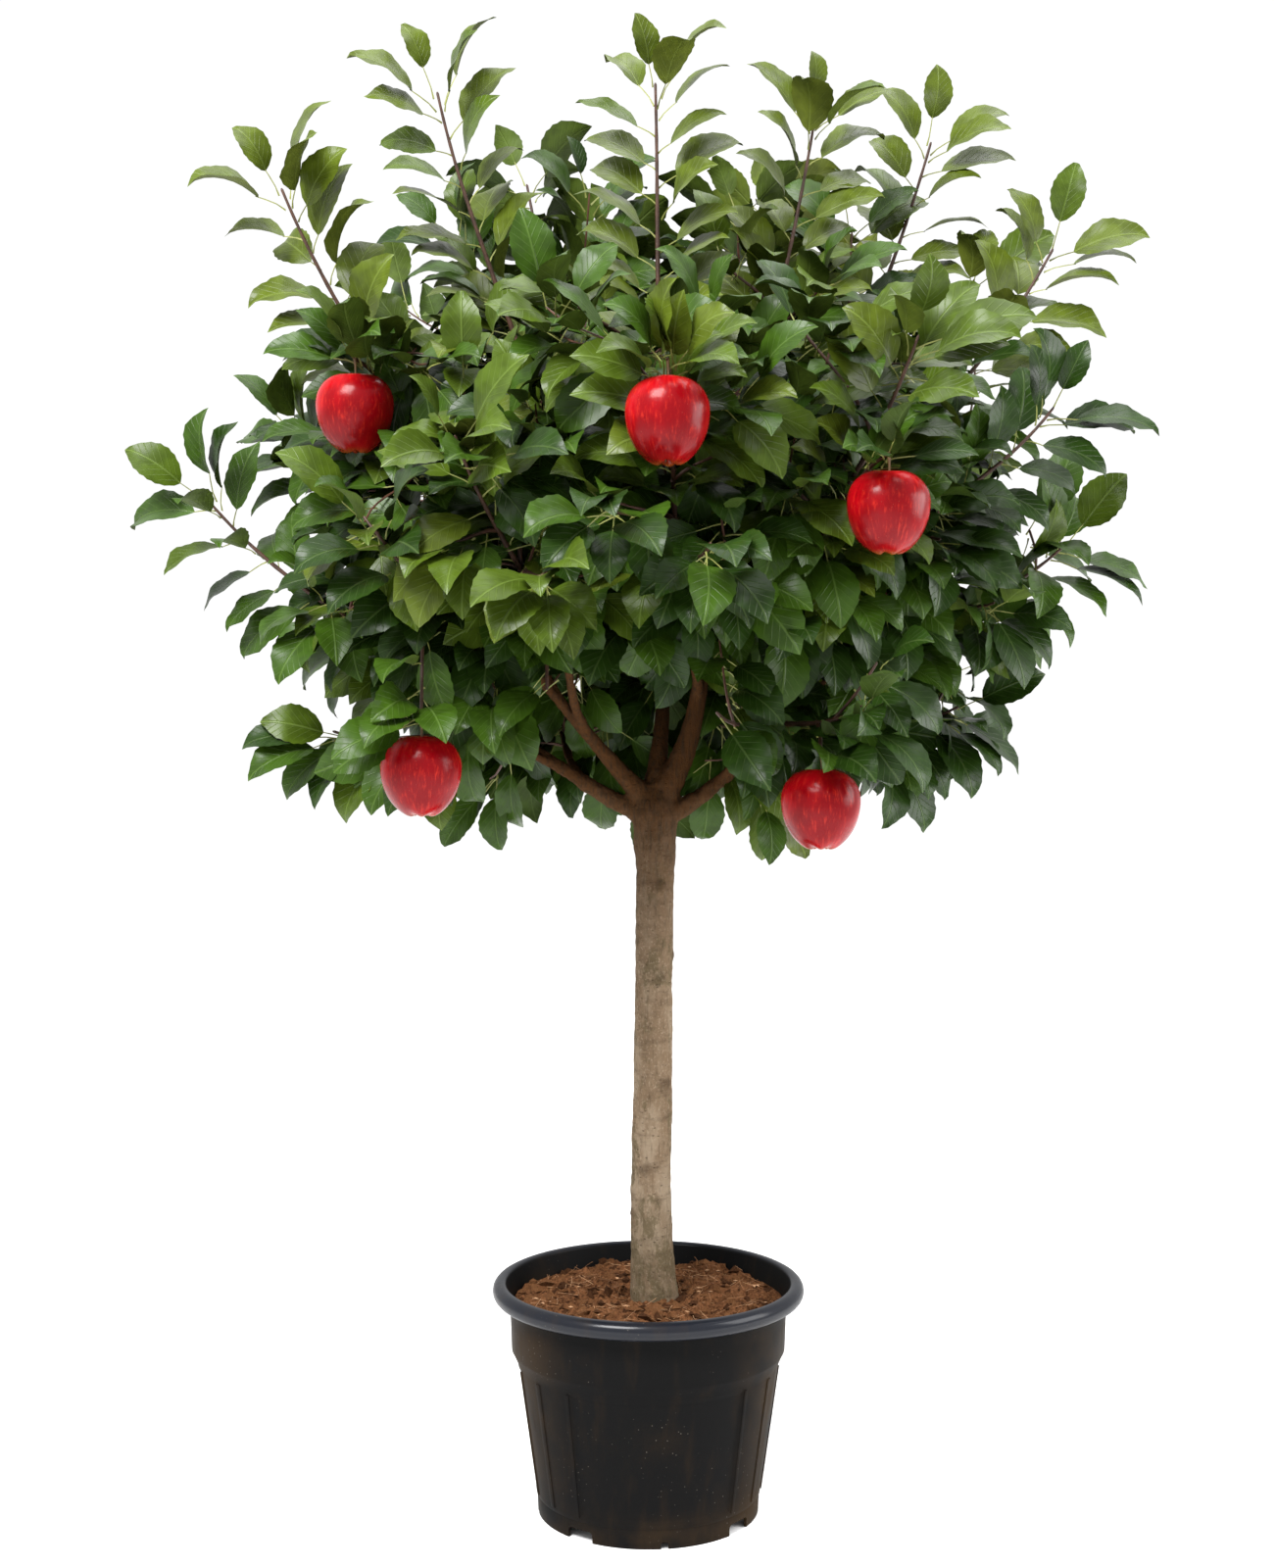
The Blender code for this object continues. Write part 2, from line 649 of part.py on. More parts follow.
class Foliage:
    """Places the leaves on every shoot, each clear of what is round it."""

    def __init__(self, crown):
        self.crown = crown
        self.leaves = {name: [] for name in crown.names}
        self.placed = []
        self.wood = [("", BVHTree.FromPolygons(*limb.shape(limb.path, limb.radii)))
                     for limb in crown.limbs.values()]
        self.wood += [(name, BVHTree.FromPolygons(*shoot.shape()))
                      for name, shoots in crown.masses.items() for shoot in shoots]
        for index, name in enumerate(crown.names):
            dice = random.Random(1000 + index)
            for shoot in crown.masses[name]:
                self.dress(name, shoot, dice)

    def dress(self, name, shoot, dice):
        """Leaves at even steps round a shoot by the golden angle, and a rosette at its tip."""
        length = shoot.curve.length
        first = max(FIRST_LEAF, length * shoot.leafy_from)
        count = max(0, int((length - ROSETTE_STEP - first) / LEAF_SPACING) + 1)
        turn = dice.uniform(0, 2 * math.pi)
        for index in range(count):
            turn += GOLDEN_ANGLE
            self.place(name, shoot, (first + index * LEAF_SPACING) / length, turn, dice, False)
        for index in range(shoot.rosette):
            turn += GOLDEN_ANGLE
            self.place(name, shoot, 1.0 - (0.003 + ROSETTE_STEP * index) / length, turn, dice, True)

    def place(self, name, shoot, along, turn, dice, at_tip):
        """Put one leaf at a place on a shoot, turned a little until it fits, or leave it out."""
        size = dice.uniform(0.88, 1.08)
        lift = dice.uniform(0.35, 0.65) + (TIP_LIFT if at_tip and not shoot.apple else 0.0)
        root = shoot.spot(along)
        heading = shoot.curve.heading(along)
        side = heading.orthogonal().normalized()
        other = heading.cross(side)
        drop = (UPRIGHT_HEIGHT - root.z) / (UPRIGHT_HEIGHT - HANGING_HEIGHT)
        drop = min(1.0, max(0.0, drop)) ** 1.5
        outward = root - HEAD_CENTRE
        outward.z *= 0.4
        outward.normalize()
        for attempt in range(LEAF_TRIES):
            angle = turn + attempt * 0.9
            spread = side * math.cos(angle) + other * math.sin(angle)
            sink = 0.20 + (0.95 - 0.08 * attempt) * drop
            way = (spread + heading * lift - UP * sink + outward * 0.35).normalized()
            face = UP + outward * (0.3 + 0.9 * drop) + heading * 0.3
            face = (face - way * face.dot(way)).normalized()
            if self.fits(name, root, way, face, LEAF_LENGTH * size, LEAF_WIDTH * size):
                return

    def fits(self, name, root, way, face, length, width):
        """Keep a leaf where it stays in its mass's space and its blade touches nothing."""
        corners = leaf_corners(root, way, face, length, width)
        stem_end = root + way * (LEAF_STALK * length)
        blade = leaf_corners(stem_end, way, face, (1.02 - LEAF_STALK) * length, width * 1.04)
        middle = [(blade[a] + blade[b]) / 2 for a, b in ((1, 4), (2, 4), (0, 3))]
        for point in blade[1:] + middle:
            if self.crown.room(name, point) < LEAF_MARGIN:
                return False
            if not self.crown.clear_of_limbs(point, LIMB_MARGIN):
                return False
            if not self.crown.clear_of_apples(point, LEAF_APPLE_MARGIN):
                return False
        whole_tree = BVHTree.FromPolygons(corners, LEAF_FACES)
        blade_tree = BVHTree.FromPolygons(blade, LEAF_FACES)
        for owner, wood in self.wood:
            if blade_tree.overlap(wood) or (owner != name and whole_tree.overlap(wood)):
                return False
        centre = root + way * (0.55 * length)
        for owner, other_centre, other_whole, other_blade in self.placed:
            if (other_centre - centre).length < NEAR_LEAVES * length:
                mine, theirs = (blade_tree, other_blade) if owner == name else (whole_tree, other_whole)
                if mine.overlap(theirs):
                    return False
        self.placed.append((name, centre, whole_tree, blade_tree))
        self.leaves[name].append(corners)
        return True


def pot_stations():
    """Every bearing round the pot from its front, in degrees, with the relief of its body there."""
    relief = {RIDGE_ANGLE: RIDGE_HEIGHT}
    for angle in (*PANEL_ANGLES, -PANEL_HALF_ANGLE + 1.3, PANEL_HALF_ANGLE - 1.3):
        relief[angle] = -PANEL_RECESS
    for sign in (-1.0, 1.0):
        relief[sign * (PANEL_HALF_ANGLE - 0.3)] = RIB_HEIGHT
        relief[sign * (PANEL_HALF_ANGLE + 0.9)] = 0.0
        relief[sign * (RIDGE_ANGLE + PANEL_HALF_ANGLE) / 2] = -FLANK_RECESS
    return [(third * 120.0 + PANEL_TURN + angle, relief[angle])
            for third in range(3) for angle in sorted(relief)]


def ringed_shape(rings, first_height, last_height):
    """Corners and faces through rings of (height, radius, share of the relief), closed at the axis."""
    stations = pot_stations()
    count = len(stations)
    corners = [Vector((0.0, 0.0, first_height))]
    for height, radius, raised in rings:
        for angle, offset in stations:
            reach = radius + offset * raised
            turn = math.radians(angle)
            corners.append(Vector((reach * math.sin(turn), -reach * math.cos(turn), height)))
    corners.append(Vector((0.0, 0.0, last_height)))
    faces = []
    for turn in range(count):
        after = (turn + 1) % count
        faces.append((0, 1 + after, 1 + turn))
        for ring in range(len(rings) - 1):
            a = 1 + ring * count
            faces.append((a + turn, a + after, a + count + after, a + count + turn))
        a = 1 + (len(rings) - 1) * count
        faces.append((a + turn, a + after, len(corners) - 1))
    return corners, faces


def build_pot(finish):
    """The pot: foot band, panelled body, collar and rolled rim, hollow, with a seat under its middle."""
    rings = [
        (0.0, SEAT_RADIUS, 0.0),
        (FLOOR_HEIGHT - WALL, SEAT_RADIUS + 0.004, 0.0),
        (FLOOR_HEIGHT - WALL, FOOT_RADIUS - 0.0035, 0.0),
        (0.0, FOOT_RADIUS - 0.0030, 0.0),
        (0.0, FOOT_RADIUS, 0.0),
        (FOOT_HEIGHT, FOOT_RADIUS + 0.0008, 0.0),
        (FOOT_HEIGHT + 0.002, BODY_FOOT_RADIUS, 0.0),
        (FOOT_HEIGHT + 0.005, BODY_FOOT_RADIUS + 0.0004, 1.0),
        (BODY_TOP_HEIGHT - 0.004, BODY_TOP_RADIUS - 0.0006, 1.0),
        (BODY_TOP_HEIGHT, BODY_TOP_RADIUS, 0.0),
        (COLLAR_FOOT_HEIGHT, COLLAR_FOOT_RADIUS, 0.0),
        *((height, radius, 0.0) for height, radius in RIM_OUTLINE),
        (COLLAR_FOOT_HEIGHT, COLLAR_FOOT_RADIUS - WALL, 0.0),
        (BODY_TOP_HEIGHT, BODY_TOP_RADIUS - WALL - PANEL_RECESS, 0.0),
        (FLOOR_HEIGHT, BODY_FOOT_RADIUS - WALL - PANEL_RECESS, 0.0),
        (FLOOR_HEIGHT, SEAT_RADIUS + 0.0025, 0.0),
        (WALL, SEAT_RADIUS - 0.0015, 0.0),
    ]
    pot = add_object("pot", *ringed_shape(rings, 0.0, WALL), finish)
    for first, size in ((FIRST_WIDE_NOTCH, WIDE_NOTCH), (FIRST_SMALL_NOTCH, SMALL_NOTCH)):
        for quarter in range(4):
            cutter = notch_cutter(first + 90.0 * quarter, *size, finish)
            apply_boolean(pot, "DIFFERENCE", cutter)
            remove(cutter)
    keep_main_shell(pot)
    pot.data.shade_smooth()
    pot.data.set_sharp_from_angle(angle=math.radians(25))


def notch_cutter(angle, width, height, finish):
    """A block through the foot band, open below."""
    turn = math.radians(angle)
    out = Vector((math.sin(turn), -math.cos(turn), 0.0))
    side = Vector((math.cos(turn), math.sin(turn), 0.0))
    corners = []
    top = NOTCH_TOP_HALF
    for reach in (FOOT_RADIUS - NOTCH_REACH, FOOT_RADIUS + NOTCH_REACH):
        for across, level in ((-0.5, -NOTCH_BELOW), (0.5, -NOTCH_BELOW), (top, height), (-top, height)):
            corners.append(out * reach + side * (across * width) + UP * level)
    faces = [(3, 2, 1, 0), (4, 5, 6, 7), (1, 5, 4, 0), (2, 6, 5, 1), (3, 7, 6, 2), (0, 4, 7, 3)]
    return add_object("notch_cutter", corners, faces, finish)


def build_soil(finish):
    """The soil fills the pot to a little below its rim, a gap clear of its wall."""
    lining = WALL + GAP * 1.5
    rings = (
        (WALL + GAP, SEAT_RADIUS - 0.0022, 0.0),
        (FLOOR_HEIGHT + GAP, SEAT_RADIUS + 0.0018, 0.0),
        (FLOOR_HEIGHT + GAP, BODY_FOOT_RADIUS - PANEL_RECESS - lining, 0.0),
        (BODY_TOP_HEIGHT + GAP, BODY_TOP_RADIUS - PANEL_RECESS - lining, 0.0),
        (COLLAR_FOOT_HEIGHT + GAP, COLLAR_FOOT_RADIUS - lining, 0.0),
        (SOIL_EDGE_HEIGHT, COLLAR_TOP_RADIUS - lining, 0.0),
        (SOIL_HEIGHT, SOIL_FLAT_RADIUS, 0.0),
    )
    soil = add_object("soil", *ringed_shape(rings, WALL + GAP, SOIL_HEIGHT), finish)
    soil.data.shade_smooth()
    soil.data.set_sharp_from_angle(angle=math.radians(30))


def build_limbs(limbs, bark):
    """The trunk whole, and each bough cut clear of the limbs made before it."""
    built = []
    for limb in limbs.values():
        made = limb.build(bark)
        lowest = min(point.z for point in limb.path) - NEAR_HEIGHTS
        for earlier in built:
            near = any((a - b).length < NEAR_LIMBS for a in limb.path for b in earlier.path)
            if near and lowest < max(point.z for point in earlier.path) + NEAR_HEIGHTS:
                cutter = earlier.keep_out(bark)
                apply_boolean(made, "DIFFERENCE", cutter)
                remove(cutter)
        keep_main_shell(made)
        made.data.shade_smooth()
        made.data.set_sharp_from_angle(angle=math.radians(50))
        built.append(limb)


def build_mass(name, shoots, leaves, finish):
    """One mass: its main shoot joined with its side shoots, leaves and apples."""
    gathered = bpy.data.collections.new("gathered_" + name)
    bpy.context.scene.collection.children.link(gathered)
    shapes = [shoot.shape() for shoot in shoots]
    shapes += [(corners, LEAF_FACES) for corners in leaves]
    for shoot in shoots:
        if shoot.apple:
            corners, faces = revolve_shape(APPLE_OUTLINE, APPLE_SIDES, Vector((0.0, 0.0, APPLE_HOLLOW)),
                                           Vector((0.0, 0.0, APPLE_EYE)))
            shapes.append(([corner + Vector(shoot.apple.centre) for corner in corners], faces))
    mass = add_object("mass_" + name, *shapes[0], finish)
    for index, (corners, faces) in enumerate(shapes[1:]):
        piece = add_object(f"piece_{name}_{index}", corners, faces, finish)
        bpy.context.scene.collection.objects.unlink(piece)
        gathered.objects.link(piece)
    apply_boolean(mass, "UNION", collection=gathered)
    for piece in list(gathered.objects):
        remove(piece)
    bpy.data.collections.remove(gathered)
    keep_main_shell(mass)


def main():
    for old in list(bpy.data.objects):
        bpy.data.objects.remove(old)
    plastic = material("pot_plastic", (0.020, 0.021, 0.024), 0.45)
    compost = material("soil_compost", (0.085, 0.045, 0.022), 0.95)
    bark = material("apple_bark", (0.170, 0.115, 0.070), 0.85)
    green = material("apple_foliage", (0.045, 0.085, 0.022), 0.50)
    build_pot(plastic)
    build_soil(compost)
    limbs = {"trunk": trunk_limb()}
    for branch in BRANCHES:
        limbs[branch.name] = bough_limb(branch, limbs)
    build_limbs(limbs, bark)
    crown = Crown(limbs)
    foliage = Foliage(crown)
    for name, shoots in crown.masses.items():
        build_mass(name, shoots, foliage.leaves[name], green)


main()
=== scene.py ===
"""The looks of a dwarf apple tree in its pot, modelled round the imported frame.

Trunk and boughs become one barked piece of wood. Every mass of foliage is grown again by the same rule
as its solid, carried on to finer twigs, with each leaf at its real size. Metres, +Z up, -Y the front.
"""

import json
import logging
import random
from collections.abc import Callable, Iterator, Sequence
from dataclasses import dataclass, field
from enum import Enum
from itertools import product
from math import atan2, copysign, cos, degrees, exp, hypot, inf, pi, radians, sin, sqrt

import bpy
import numpy as np
from mathutils import Matrix, Vector, noise
from mathutils.kdtree import KDTree

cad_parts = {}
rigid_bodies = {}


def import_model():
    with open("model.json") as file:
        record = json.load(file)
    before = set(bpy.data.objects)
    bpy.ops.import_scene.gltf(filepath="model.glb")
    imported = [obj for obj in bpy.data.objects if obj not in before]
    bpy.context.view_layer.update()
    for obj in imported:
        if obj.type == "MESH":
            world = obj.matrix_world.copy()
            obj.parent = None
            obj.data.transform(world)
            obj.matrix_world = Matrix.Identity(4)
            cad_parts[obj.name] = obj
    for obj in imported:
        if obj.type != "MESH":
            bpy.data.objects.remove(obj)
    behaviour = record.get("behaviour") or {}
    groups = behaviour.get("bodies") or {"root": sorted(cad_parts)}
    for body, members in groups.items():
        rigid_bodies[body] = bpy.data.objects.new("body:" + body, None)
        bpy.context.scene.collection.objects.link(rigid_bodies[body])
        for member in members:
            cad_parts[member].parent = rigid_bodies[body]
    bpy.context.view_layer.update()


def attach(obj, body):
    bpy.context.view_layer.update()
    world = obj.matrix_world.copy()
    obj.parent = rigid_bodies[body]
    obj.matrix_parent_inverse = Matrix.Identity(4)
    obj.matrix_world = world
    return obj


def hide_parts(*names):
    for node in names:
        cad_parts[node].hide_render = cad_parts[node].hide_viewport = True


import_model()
log = logging.getLogger("apple_tree")

Colour = tuple[float, float, float]
Pair = tuple[float, float]
Dice = random.Random
Piece = bpy.types.Object
Material = bpy.types.Material
UP = Vector((0.0, 0.0, 1.0))
GOLDEN_ANGLE = pi * (3.0 - sqrt(5.0))
GAP = 0.0003


def display(red: float, green: float, blue: float) -> Colour:
    """The linear colour, from 0 to 1, of a display colour from 0 to 255."""
    shares = (value / 255.0 for value in (red, green, blue))
    return tuple(s / 12.92 if s <= 0.04045 else ((s + 0.055) / 1.055) ** 2.4 for s in shares)


class Slot(Enum):
    """The record's material slots."""

    POT = "pot_plastic"
    COMPOST = "compost"
    BARK = "bark"
    FOLIAGE = "foliage"
    APPLE = "apple_skin"


class Wire:
    """A value in a shader, with arithmetic that adds Math nodes."""

    def __init__(self, paint: "Paint", socket: bpy.types.NodeSocket) -> None:
        """Keep the output socket and the paint it belongs to."""
        self.paint = paint
        self.socket = socket

    def math(self, operation: str, *values: "float | Wire", clamp: bool = False) -> "Wire":
        """One Math node on this value and on further numbers or values, kept from 0 to 1 by clamp."""
        inputs = dict(enumerate((self, *values)))
        return self.paint.node("ShaderNodeMath", {"operation": operation, "use_clamp": clamp}, inputs)

    def __add__(self, other: "float | Wire") -> "Wire":
        """Self plus other."""
        return self.math("ADD", other)

    def __mul__(self, other: "float | Wire") -> "Wire":
        """Self times other."""
        return self.math("MULTIPLY", other)

    def __sub__(self, other: "float | Wire") -> "Wire":
        """Self minus other."""
        return self.math("SUBTRACT", other)

    def __rsub__(self, other: float) -> "Wire":
        """Other minus self."""
        return (self * -1.0).math("ADD", other)

    __radd__ = __add__
    __rmul__ = __mul__

    def between(self, low: float, high: float) -> "Wire":
        """A smooth step from 0 at low to 1 at high; with high below low it falls."""
        settings = {"interpolation_type": "SMOOTHSTEP"}
        return self.paint.node("ShaderNodeMapRange", settings, {0: self, 1: low, 2: high, 3: 0.0, 4: 1.0})


class Paint:
    """One material and its node tree."""

    def __init__(self, name: str, roughness: float = 0.5, **shader: float) -> None:
        """Start a material.

        Args:
            name: the material's name.
            roughness: its roughness where nothing else is linked.
            shader: further constants, by socket name with underscores for spaces.
        """
        self.material = bpy.data.materials.new(name)
        self.material.use_nodes = True
        self.tree = self.material.node_tree
        self.shader = self.tree.nodes["Principled BSDF"]
        self.shader.inputs["Roughness"].default_value = roughness
        for socket, value in shader.items():
            self.shader.inputs[socket.replace("_", " ")].default_value = value

    def node(self, kind: str, settings: dict | None = None, sockets: dict | None = None,
             out: int = 0) -> Wire:
        """Add a node.

        Args:
            kind: the node's type.
            settings: its own settings, set first; stops are a ramp's pairs of place and colour.
            sockets: values or wires for its inputs, by name or number.
            out: the number of the output wanted.

        Returns:
            That output.
        """
        made = self.tree.nodes.new(kind)
        for name, value in (settings or {}).items():
            if name == "stops":
                ramp = made.color_ramp
                for place, colour in value[2:]:
                    ramp.elements.new(place).color = (*colour, 1.0)
                for element, (place, colour) in zip((ramp.elements[0], ramp.elements[-1]), value[:2]):
                    element.position = place
                    element.color = (*colour, 1.0)
            else:
                setattr(made, name, value)
        for name, value in (sockets or {}).items():
            if isinstance(value, Wire):
                self.tree.links.new(value.socket, made.inputs[name])
            else:
                made.inputs[name].default_value = value
        return Wire(self, made.outputs[out])

    def place(self, centre: Sequence[float] = (0, 0, 0), scale: Sequence[float] = (1, 1, 1)) -> Wire:
        """Object coordinates from a centre, stretched along each axis."""
        point = self.node("ShaderNodeTexCoord", out=3)
        moved = tuple(-c * s for c, s in zip(centre, scale))
        return self.node("ShaderNodeMapping", {}, {"Vector": point, "Location": moved, "Scale": tuple(scale)})

    def axes(self, vector: Wire) -> tuple[Wire, Wire, Wire]:
        """The three numbers of a vector."""
        parts = [self.node("ShaderNodeSeparateXYZ", {}, {0: vector}, out) for out in range(3)]
        return parts[0], parts[1], parts[2]

    def noise(self, vector: Wire, scale: float, detail: float = 3.0, rough: float = 0.55) -> Wire:
        """Noise on a vector: its scale, octaves and roughness, from 0 to 1."""
        return self.node("ShaderNodeTexNoise", {}, {"Vector": vector, "Scale": scale, "Detail": detail,
                                                    "Roughness": rough})

    def cells(self, vector: Wire, scale: float, feature: str = "F1") -> Wire:
        """Distance to the nearest of scattered points."""
        return self.node("ShaderNodeTexVoronoi", {"feature": feature}, {"Vector": vector, "Scale": scale})

    def mix(self, share: "float | Wire", low: "Colour | Wire", high: "Colour | Wire") -> Wire:
        """A colour between two, where a share of 0 gives low and 1 gives high."""
        pair = [(*c, 1.0) if isinstance(c, tuple) else c for c in (low, high)]
        return self.node("ShaderNodeMix", {"data_type": "RGBA"}, {0: share, 6: pair[0], 7: pair[1]}, 2)

    def colour(self, value: "Colour | Wire") -> None:
        """Set or link the base colour."""
        if isinstance(value, Wire):
            self.tree.links.new(value.socket, self.shader.inputs["Base Color"])
        else:
            self.shader.inputs["Base Color"].default_value = (*value, 1.0)

    def link(self, socket: str, value: Wire) -> None:
        """Link one of the shader's own inputs."""
        self.tree.links.new(value.socket, self.shader.inputs[socket])

    def roughness(self, value: Wire) -> None:
        """Link the roughness."""
        self.link("Roughness", value)

    def bump(self, height: Wire, distance: float, strength: float = 1.0) -> None:
        """Raise the surface by a height from 0 to 1 times a distance in metres."""
        bump = self.node("ShaderNodeBump", {}, {"Height": height, "Distance": distance, "Strength": strength})
        self.tree.links.new(bump.socket, self.shader.inputs["Normal"])


@dataclass(frozen=True)
class PotPlastic:
    """Dusty black moulded plastic, lighter and bluer on the rolled rim as a painted sheen, with scuffs and
    earth towards its foot.
    """

    body: Colour = display(16, 16, 16)
    # rim: the same black plastic made lighter and bluer, a painted sheen
    rim: Colour = display(20, 22, 28)
    dust: Colour = display(52, 39, 24)
    speck: Colour = display(104, 98, 90)
    rim_height: float = 0.2205
    foot_height: float = 0.045

    def make(self) -> Material:
        """The material."""
        paint = Paint("pot_plastic", 0.5, Specular_IOR_Level=0.02, Coat_Roughness=0.20)
        here = paint.place()
        sideways, depth, height = paint.axes(here)
        reach = (sideways * sideways + depth * depth).math("SQRT")
        streaks = paint.noise(paint.place(scale=(1, 1, 0.22)), 60.0, 4.0)
        cloud = paint.noise(here, 14.0, 4.0)
        rim = height.between(self.rim_height - 0.001, self.rim_height + 0.001) * reach.between(0.1455, 0.1480)
        # painted sheen: the outside of the rolled rim takes the lighter, bluer rim colour
        colour = paint.mix(rim, self.body, self.rim)
        film = streaks.between(0.50, 0.80) * 0.16 + cloud.between(0.50, 0.80) * 0.16
        low = height.between(self.foot_height, 0.0) * cloud.between(0.30, 0.62) * 0.42
        flank = sideways.math("ABSOLUTE").between(0.075, 0.125) * height.between(0.235, 0.19)
        low = low + flank * cloud.between(0.30, 0.60) * 0.46
        colour = paint.mix((film + low).math("MINIMUM", 0.7), colour, self.dust)
        specks = paint.cells(here, 190.0).between(0.13, 0.05) * cloud.between(0.47, 0.62)
        colour = paint.mix(specks * 0.65, colour, self.speck)
        paint.colour(colour)
        paint.roughness(0.50 + film * 0.6 + specks * 0.2)
        paint.link("Coat Weight", rim * 0.36)
        grain = paint.noise(here, 900.0, 2.0)
        paint.bump(grain * 0.35 + streaks * 0.65, 0.00022)
        return paint.material


@dataclass(frozen=True)
class CompostFinish:
    """Loose brown compost: one tone of its crumbs, fibres or chips."""

    name: str
    dark: Colour
    light: Colour
    scale: float = 320.0

    def make(self) -> Material:
        """The material."""
        paint = Paint(self.name, 0.95, Specular_IOR_Level=0.03)
        here = paint.place()
        crumbs = paint.noise(here, self.scale, 6.0, 0.72)
        patches = paint.noise(here, 42.0, 3.0)
        share = crumbs.between(0.30, 0.70) * 0.75 + patches.between(0.35, 0.65) * 0.25
        paint.colour(paint.mix(share, self.dark, self.light))
        paint.bump(crumbs, 0.0012)
        return paint.material


@dataclass(frozen=True)
class BarkFinish:
    """Grey-brown bark: tan and mottled on the trunk, dark at knots and head, brown on the boughs."""

    tan: Colour = display(102, 85, 67)
    pale: Colour = display(124, 109, 91)
    moss: Colour = display(80, 70, 51)
    dark: Colour = display(46, 34, 23)
    light: Colour = display(142, 127, 109)
    bough: Colour = display(66, 42, 22)
    marks: tuple = ()
    head_low: float = 0.540
    head_high: float = 0.770

    def make(self) -> Material:
        """The material."""
        paint = Paint("bark", 0.90, Specular_IOR_Level=0.04)
        here = paint.place()
        height = paint.axes(here)[2]
        fibres = paint.noise(paint.place(scale=(1, 1, 0.16)), 300.0, 5.0, 0.65)
        grain = paint.noise(paint.place(scale=(1, 1, 0.7)), 420.0, 5.0, 0.72)
        bands = paint.noise(paint.place(scale=(0.35, 0.35, 1.0)), 110.0, 5.0, 0.70)
        patches = paint.noise(paint.place(scale=(1, 1, 0.45)), 38.0, 4.0, 0.60)
        colour = paint.mix(patches.between(0.40, 0.66), self.tan, self.pale)
        blotches = paint.noise(paint.place(scale=(1, 1, 0.6)), 36.0, 6.0, 0.70)
        colour = paint.mix(blotches.between(0.50, 0.58) * 0.75, colour, self.moss)
        colour = paint.mix(grain.between(0.50, 0.70) * 0.60, colour, self.light)
        colour = paint.mix(fibres.between(0.50, 0.80) * 0.62, colour, self.dark)
        colour = paint.mix(bands.between(0.50, 0.72) * 0.42, colour, self.dark)
        colour = paint.mix(height.between(0.36, 0.22) * patches.between(0.30, 0.60) * 0.35, colour, self.moss)
        specks = paint.cells(paint.place(scale=(0.55, 0.55, 1.0)), 210.0).between(0.20, 0.09)
        colour = paint.mix(specks * patches.between(0.36, 0.56) * 0.60, colour, self.dark)
        for mark in self.marks:
            offset = paint.place(mark, (1.0, 1.0, 1.3))
            reach = paint.node("ShaderNodeVectorMath", {"operation": "LENGTH"}, {0: offset}, 1)
            colour = paint.mix((reach + blotches * 0.022).between(0.0220, 0.0120) * 0.62, colour, self.dark)
        upper = height + patches * 0.08 - 0.04
        colour = paint.mix(upper.between(self.head_low, self.head_high), colour,
                           paint.mix(fibres.between(0.40, 0.72), self.bough, self.dark))
        paint.colour(colour)
        paint.bump(fibres * 0.50 + bands * 0.30 + grain * 0.25 - specks * 0.15, 0.0032)
        return paint.material


@dataclass(frozen=True)
class TwigFinish:
    """Young wood, smooth and reddish brown, with pale dots."""

    name: str
    colour: Colour
    dot: Colour = display(118, 98, 78)

    def make(self) -> Material:
        """The material."""
        paint = Paint(self.name, 0.55, Specular_IOR_Level=0.35)
        here = paint.place()
        tone = paint.noise(here, 90.0, 3.0)
        dots = paint.cells(here, 330.0).between(0.16, 0.08)
        dark = tuple(value * 0.55 for value in self.colour)
        paint.colour(paint.mix(dots * 0.35, paint.mix(tone.between(0.35, 0.65), dark, self.colour), self.dot))
        paint.bump(tone, 0.0008)
        return paint.material


@dataclass(frozen=True)
class LeafTint:
    """One tint of leaf: the colours of its upper side and its underside."""

    name: str
    upper: Colour
    under: Colour
    share: float

    def make(self) -> list[Material]:
        """The materials of the upper side and the underside."""
        return [self.side("upper", self.upper, 0.33, 0.30, 0.00045),
                self.side("under", self.under, 0.62, 0.20, -0.00045)]

    def side(self, which: str, base: Colour, roughness: float, veins: float,
             relief: float) -> Material:
        """One side of the leaf, with its midrib and side veins.

        Args:
            which: the side's name.
            base: its colour.
            roughness: how matt it is.
            veins: how far the veins are lightened.
            relief: how deep the veins lie, in metres.

        Returns:
            The material.
        """
        paint = Paint(f"leaf_{self.name}_{which}", roughness, Specular_IOR_Level=0.16)
        leaf = paint.node("ShaderNodeUVMap", {"uv_map": "leaf"})
        across, along, _ = paint.axes(leaf)
        off = (across - 0.5).math("ABSOLUTE")
        rib = off.between(0.035, 0.010)
        wave = (along * 8.0 - off * 5.5).math("FRACT")
        branch = (wave - 0.5).math("ABSOLUTE").between(0.10, 0.02) * off.between(0.46, 0.25)
        tone = paint.noise(paint.place(), 55.0, 2.0)
        low = tuple(value * 0.80 for value in base)
        high = tuple(min(1.0, value * 1.18) for value in base)
        pale = tuple(value * 1.4 + 0.04 * share for value, share in zip(base, (0.8, 1.0, 0.40)))
        colour = paint.mix(tone.between(0.35, 0.65), low, high)
        lines = rib.math("MAXIMUM", branch * 0.45)
        paint.colour(paint.mix(lines * veins * 2.0, colour, pale))
        paint.bump(1.0 - lines, relief)
        return paint.material


